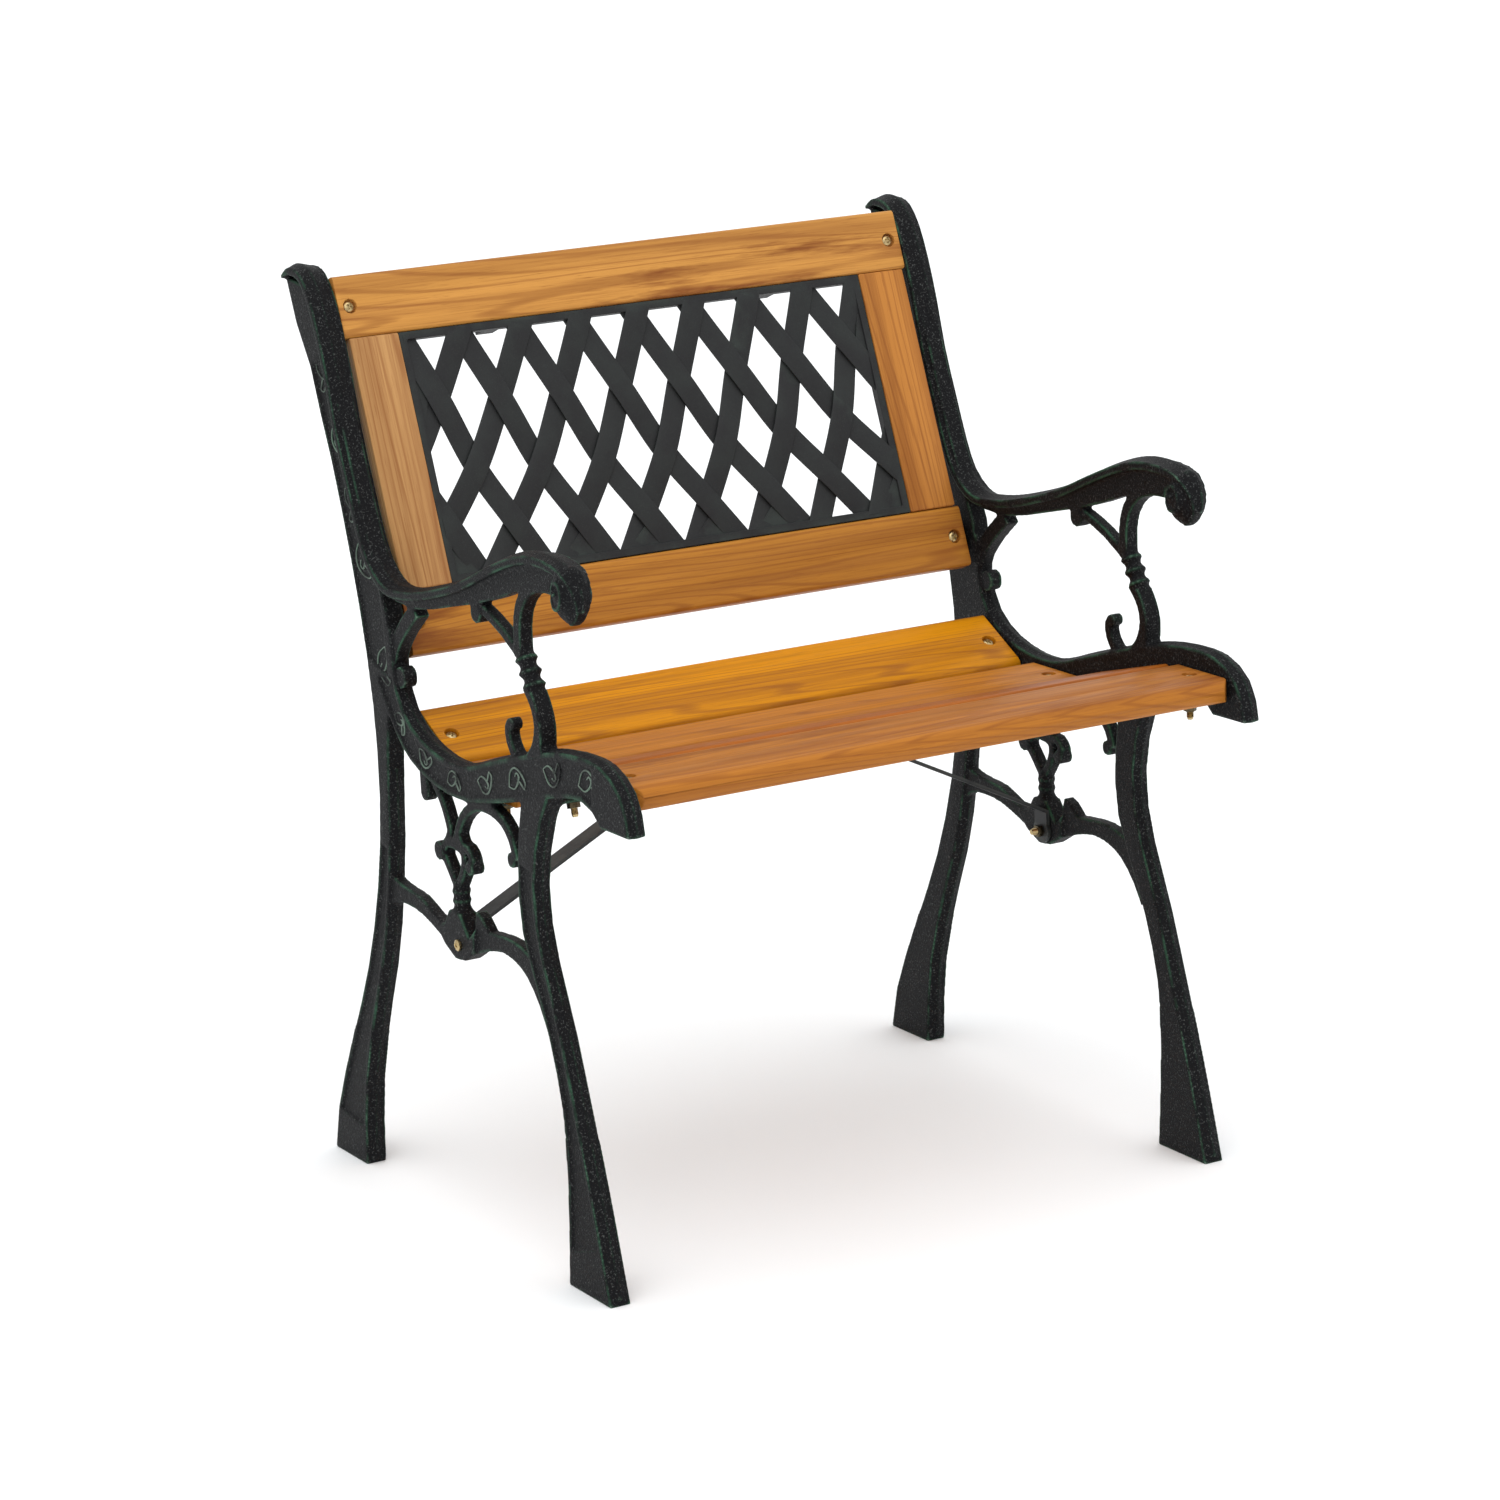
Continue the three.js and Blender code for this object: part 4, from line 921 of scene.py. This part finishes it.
class BENCH_OT_fittings(bpy.types.Operator):
    """Make the bolts with cross recesses and threads, and finish the nuts and screws"""

    bl_idname = "bench.fittings"
    bl_label = "Bolts, Nuts and Screws"

    head_radius = 4.6
    head_height = 3.0
    shank_radius = 3.0
    recess_depth = 1.5
    arm_width = 0.7
    arm_length = 2.7
    cap_step = 0.35
    cap_rings = 12
    thread_length = 12
    thread_pitch = 1.0
    thread_depth = 0.45
    segments = 40

    def execute(self, context):
        values = {"Base": rgba(context.scene.bench.fitting_color), "Stain": (0.1, 0.065, 0.03, 1)}
        plated = skin_material("yellow plating", metal_wear_group(), values, metallic=1.0, coat=0.0,
                               specular=0.5, bump_distance=0.00005, bump_strength=0.3)
        # The nuts and screws get a far darker plating than the bolt heads: partly their own dark steel,
        # partly painted shade so that they sit in with the shadow around them.
        values = {"Base": (0.1, 0.078, 0.045, 1), "Stain": (0.03, 0.022, 0.012, 1)}
        shade_darkened_plating = skin_material("plating darkened for shade", metal_wear_group(), values, metallic=1.0, coat=0.0,
                             specular=0.5, bump_distance=0.00005, bump_strength=0.3)
        for name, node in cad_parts.items():
            if name.startswith("bolt_"):
                self.bolt(name, plated)
            elif name.startswith(("nut_", "screw_")):
                set_material(node, shade_darkened_plating)
                weld = node.modifiers.new("weld", "WELD")
                weld.merge_threshold = 1e-6
                edges = node.modifiers.new("edges", "BEVEL")
                edges.width = 0.0003
                edges.segments = 2
                edges.limit_method = "ANGLE"
                edges.angle_limit = math.radians(35)
        return {"FINISHED"}

    def head_level(self, x, y):
        """Height of the domed top at a place, with the cross cut into it."""
        reach = math.hypot(x, y) / self.head_radius
        level = self.head_height * (1 - 0.42 * reach ** 2.6)
        in_cross = False
        for u, v in ((abs(x), abs(y)), (abs(y), abs(x))):
            if u < self.arm_width and v < self.arm_length:
                in_cross = True
        if in_cross:
            level -= self.recess_depth * (1 - 0.4 * math.hypot(x, y) / self.arm_length)
        return level

    def bolt(self, name, plated):
        top, axis, length = fitting_axis(name)
        bm = bmesh.new()
        rings = []
        cap = [self.cap_step * i for i in range(1, self.cap_rings + 1)] + [self.head_radius]
        for reach in cap:
            ring = []
            for k in range(self.segments):
                angle = 2 * math.pi * k / self.segments
                x = math.cos(angle) * reach
                y = math.sin(angle) * reach
                ring.append((x, y, self.head_level(x, y) - self.head_height))
            rings.append(ring)
        bottom = -length / MM
        profile = [(self.head_radius, -self.head_height), (self.shank_radius, -self.head_height)]
        level = bottom + self.thread_length
        root = self.shank_radius - self.thread_depth
        while level > bottom + 1:
            profile += [(self.shank_radius, level), (root, level - self.thread_pitch / 2)]
            level -= self.thread_pitch
        profile.append((self.shank_radius - 0.8, bottom))
        for reach, height in profile:
            rings.append([
                (math.cos(2 * math.pi * k / self.segments) * reach,
                 math.sin(2 * math.pi * k / self.segments) * reach, height) for k in range(self.segments)])
        rows = [[bm.verts.new(point) for point in ring] for ring in rings]
        crown = bm.verts.new((0, 0, self.head_level(0, 0) - self.head_height))
        for k in range(self.segments):
            bm.faces.new((crown, rows[0][k], rows[0][(k + 1) % self.segments]))
        for a, b in zip(rows, rows[1:]):
            for k in range(self.segments):
                j = (k + 1) % self.segments
                bm.faces.new((a[k], b[k], b[j], a[j]))
        bm.faces.new(rows[-1])
        spin = Matrix.Rotation(math.radians(len(name) * 23 % 90), 4, "Z")
        turn = axis.to_track_quat("Z", "Y").to_matrix().to_4x4()
        whole = Matrix.Translation(top) @ turn @ spin @ Matrix.Scale(MM, 4)
        bmesh.ops.transform(bm, matrix=whole, verts=bm.verts)
        piece = link_piece("turned_" + name, mesh_from(bm, "turned_" + name), "fasteners", name)
        finish_smooth(piece, 32)
        set_material(piece, plated)


# ---------- stage ----------


class BENCH_OT_stage(bpy.types.Operator):
    """Set up the floor, the lights and the camera"""

    bl_idname = "bench.stage"
    bl_label = "Stage"

    def execute(self, context):
        stage = context.scene.bench_stage
        self.floor()
        self.lights(stage)
        self.camera(stage)
        context.scene.view_settings.view_transform = "Standard"
        return {"FINISHED"}

    def floor(self):
        bm = bmesh.new()
        bmesh.ops.create_grid(bm, x_segments=1, y_segments=1, size=30)
        floor = bpy.data.objects.new("floor", mesh_from(bm, "floor"))
        bpy.context.scene.collection.objects.link(floor)
        material = bpy.data.materials.new("floor")
        material.use_nodes = True
        surface = material.node_tree.nodes["Principled BSDF"]
        surface.inputs["Base Color"].default_value = (0.945, 0.96, 0.97, 1)
        surface.inputs["Roughness"].default_value = 0.9
        surface.inputs["Specular IOR Level"].default_value = 0.1
        set_material(floor, material)

    def lights(self, stage):
        world = bpy.data.worlds.new("studio")
        bpy.context.scene.world = world
        world.use_nodes = True
        background = world.node_tree.nodes["Background"]
        background.inputs["Color"].default_value = (1, 1, 1, 1)
        background.inputs["Strength"].default_value = stage.sky_strength
        sun = bpy.data.lights.new("sun", "SUN")
        sun.angle = math.radians(60)
        sun.energy = stage.sun_strength
        self.aim("sun", sun, (-0.35, -0.7, 3.0))
        for name, place, size, share in (
                ("key", (-1.6, -2.4, 3.2), 2.5, 1.0), ("rim", (1.2, 2.8, 2.6), 2.0, 0.4)):
            data = bpy.data.lights.new(name, "AREA")
            data.size = size
            data.energy = stage.key_power * share
            self.aim(name, data, place)

    def aim(self, name, data, place):
        light = bpy.data.objects.new(name, data)
        bpy.context.scene.collection.objects.link(light)
        light.location = place
        toward = Vector((0, 0, 0.4)) - Vector(place)
        light.rotation_euler = toward.to_track_quat("-Z", "Y").to_euler()

    def camera(self, stage):
        data = bpy.data.cameras.new("camera")
        data.lens = stage.lens
        data.sensor_width = 36
        data.clip_end = 100
        camera = bpy.data.objects.new("camera", data)
        bpy.context.scene.collection.objects.link(camera)
        flat = math.cos(stage.elevation)
        back = Vector((
            math.sin(stage.azimuth) * flat, -math.cos(stage.azimuth) * flat, math.sin(stage.elevation)))
        right = Vector((0, 0, 1)).cross(back).normalized()
        up = back.cross(right)
        cos_roll = math.cos(stage.roll)
        sin_roll = math.sin(stage.roll)
        tilted_right = right * cos_roll + up * sin_roll
        tilted_up = up * cos_roll - right * sin_roll
        turn = Matrix((tilted_right, tilted_up, back)).transposed().to_4x4()
        camera.matrix_world = Matrix.Translation(Vector(stage.target) + back * stage.distance) @ turn
        bpy.context.scene.camera = camera


class BENCH_PT_panel(bpy.types.Panel):
    bl_idname = "BENCH_PT_panel"
    bl_label = "Garden Bench"
    bl_space_type = "VIEW_3D"
    bl_region_type = "UI"
    bl_category = "Bench"

    def draw(self, context):
        layout = self.layout
        for settings in (context.scene.bench, context.scene.bench_stage):
            column = layout.column()
            for key in settings.__annotations__:
                column.prop(settings, key)
        for operator in OPERATORS:
            layout.operator(operator.bl_idname)


OPERATORS = (
    BENCH_OT_end_frames, BENCH_OT_seat, BENCH_OT_back, BENCH_OT_lattice, BENCH_OT_braces,
    BENCH_OT_fittings, BENCH_OT_stage,
)
CLASSES = (BenchSettings, StageSettings) + OPERATORS + (BENCH_PT_panel,)


def register():
    for cls in CLASSES:
        bpy.utils.register_class(cls)
    bpy.types.Scene.bench = PointerProperty(type=BenchSettings)
    bpy.types.Scene.bench_stage = PointerProperty(type=StageSettings)


def unregister():
    del bpy.types.Scene.bench_stage
    del bpy.types.Scene.bench
    for cls in reversed(CLASSES):
        bpy.utils.unregister_class(cls)


def main():
    register()
    bpy.ops.bench.end_frames()
    bpy.ops.bench.seat()
    bpy.ops.bench.back()
    bpy.ops.bench.lattice()
    bpy.ops.bench.braces()
    bpy.ops.bench.fittings()
    bpy.ops.bench.stage()


if __name__ == "__main__":
    main()
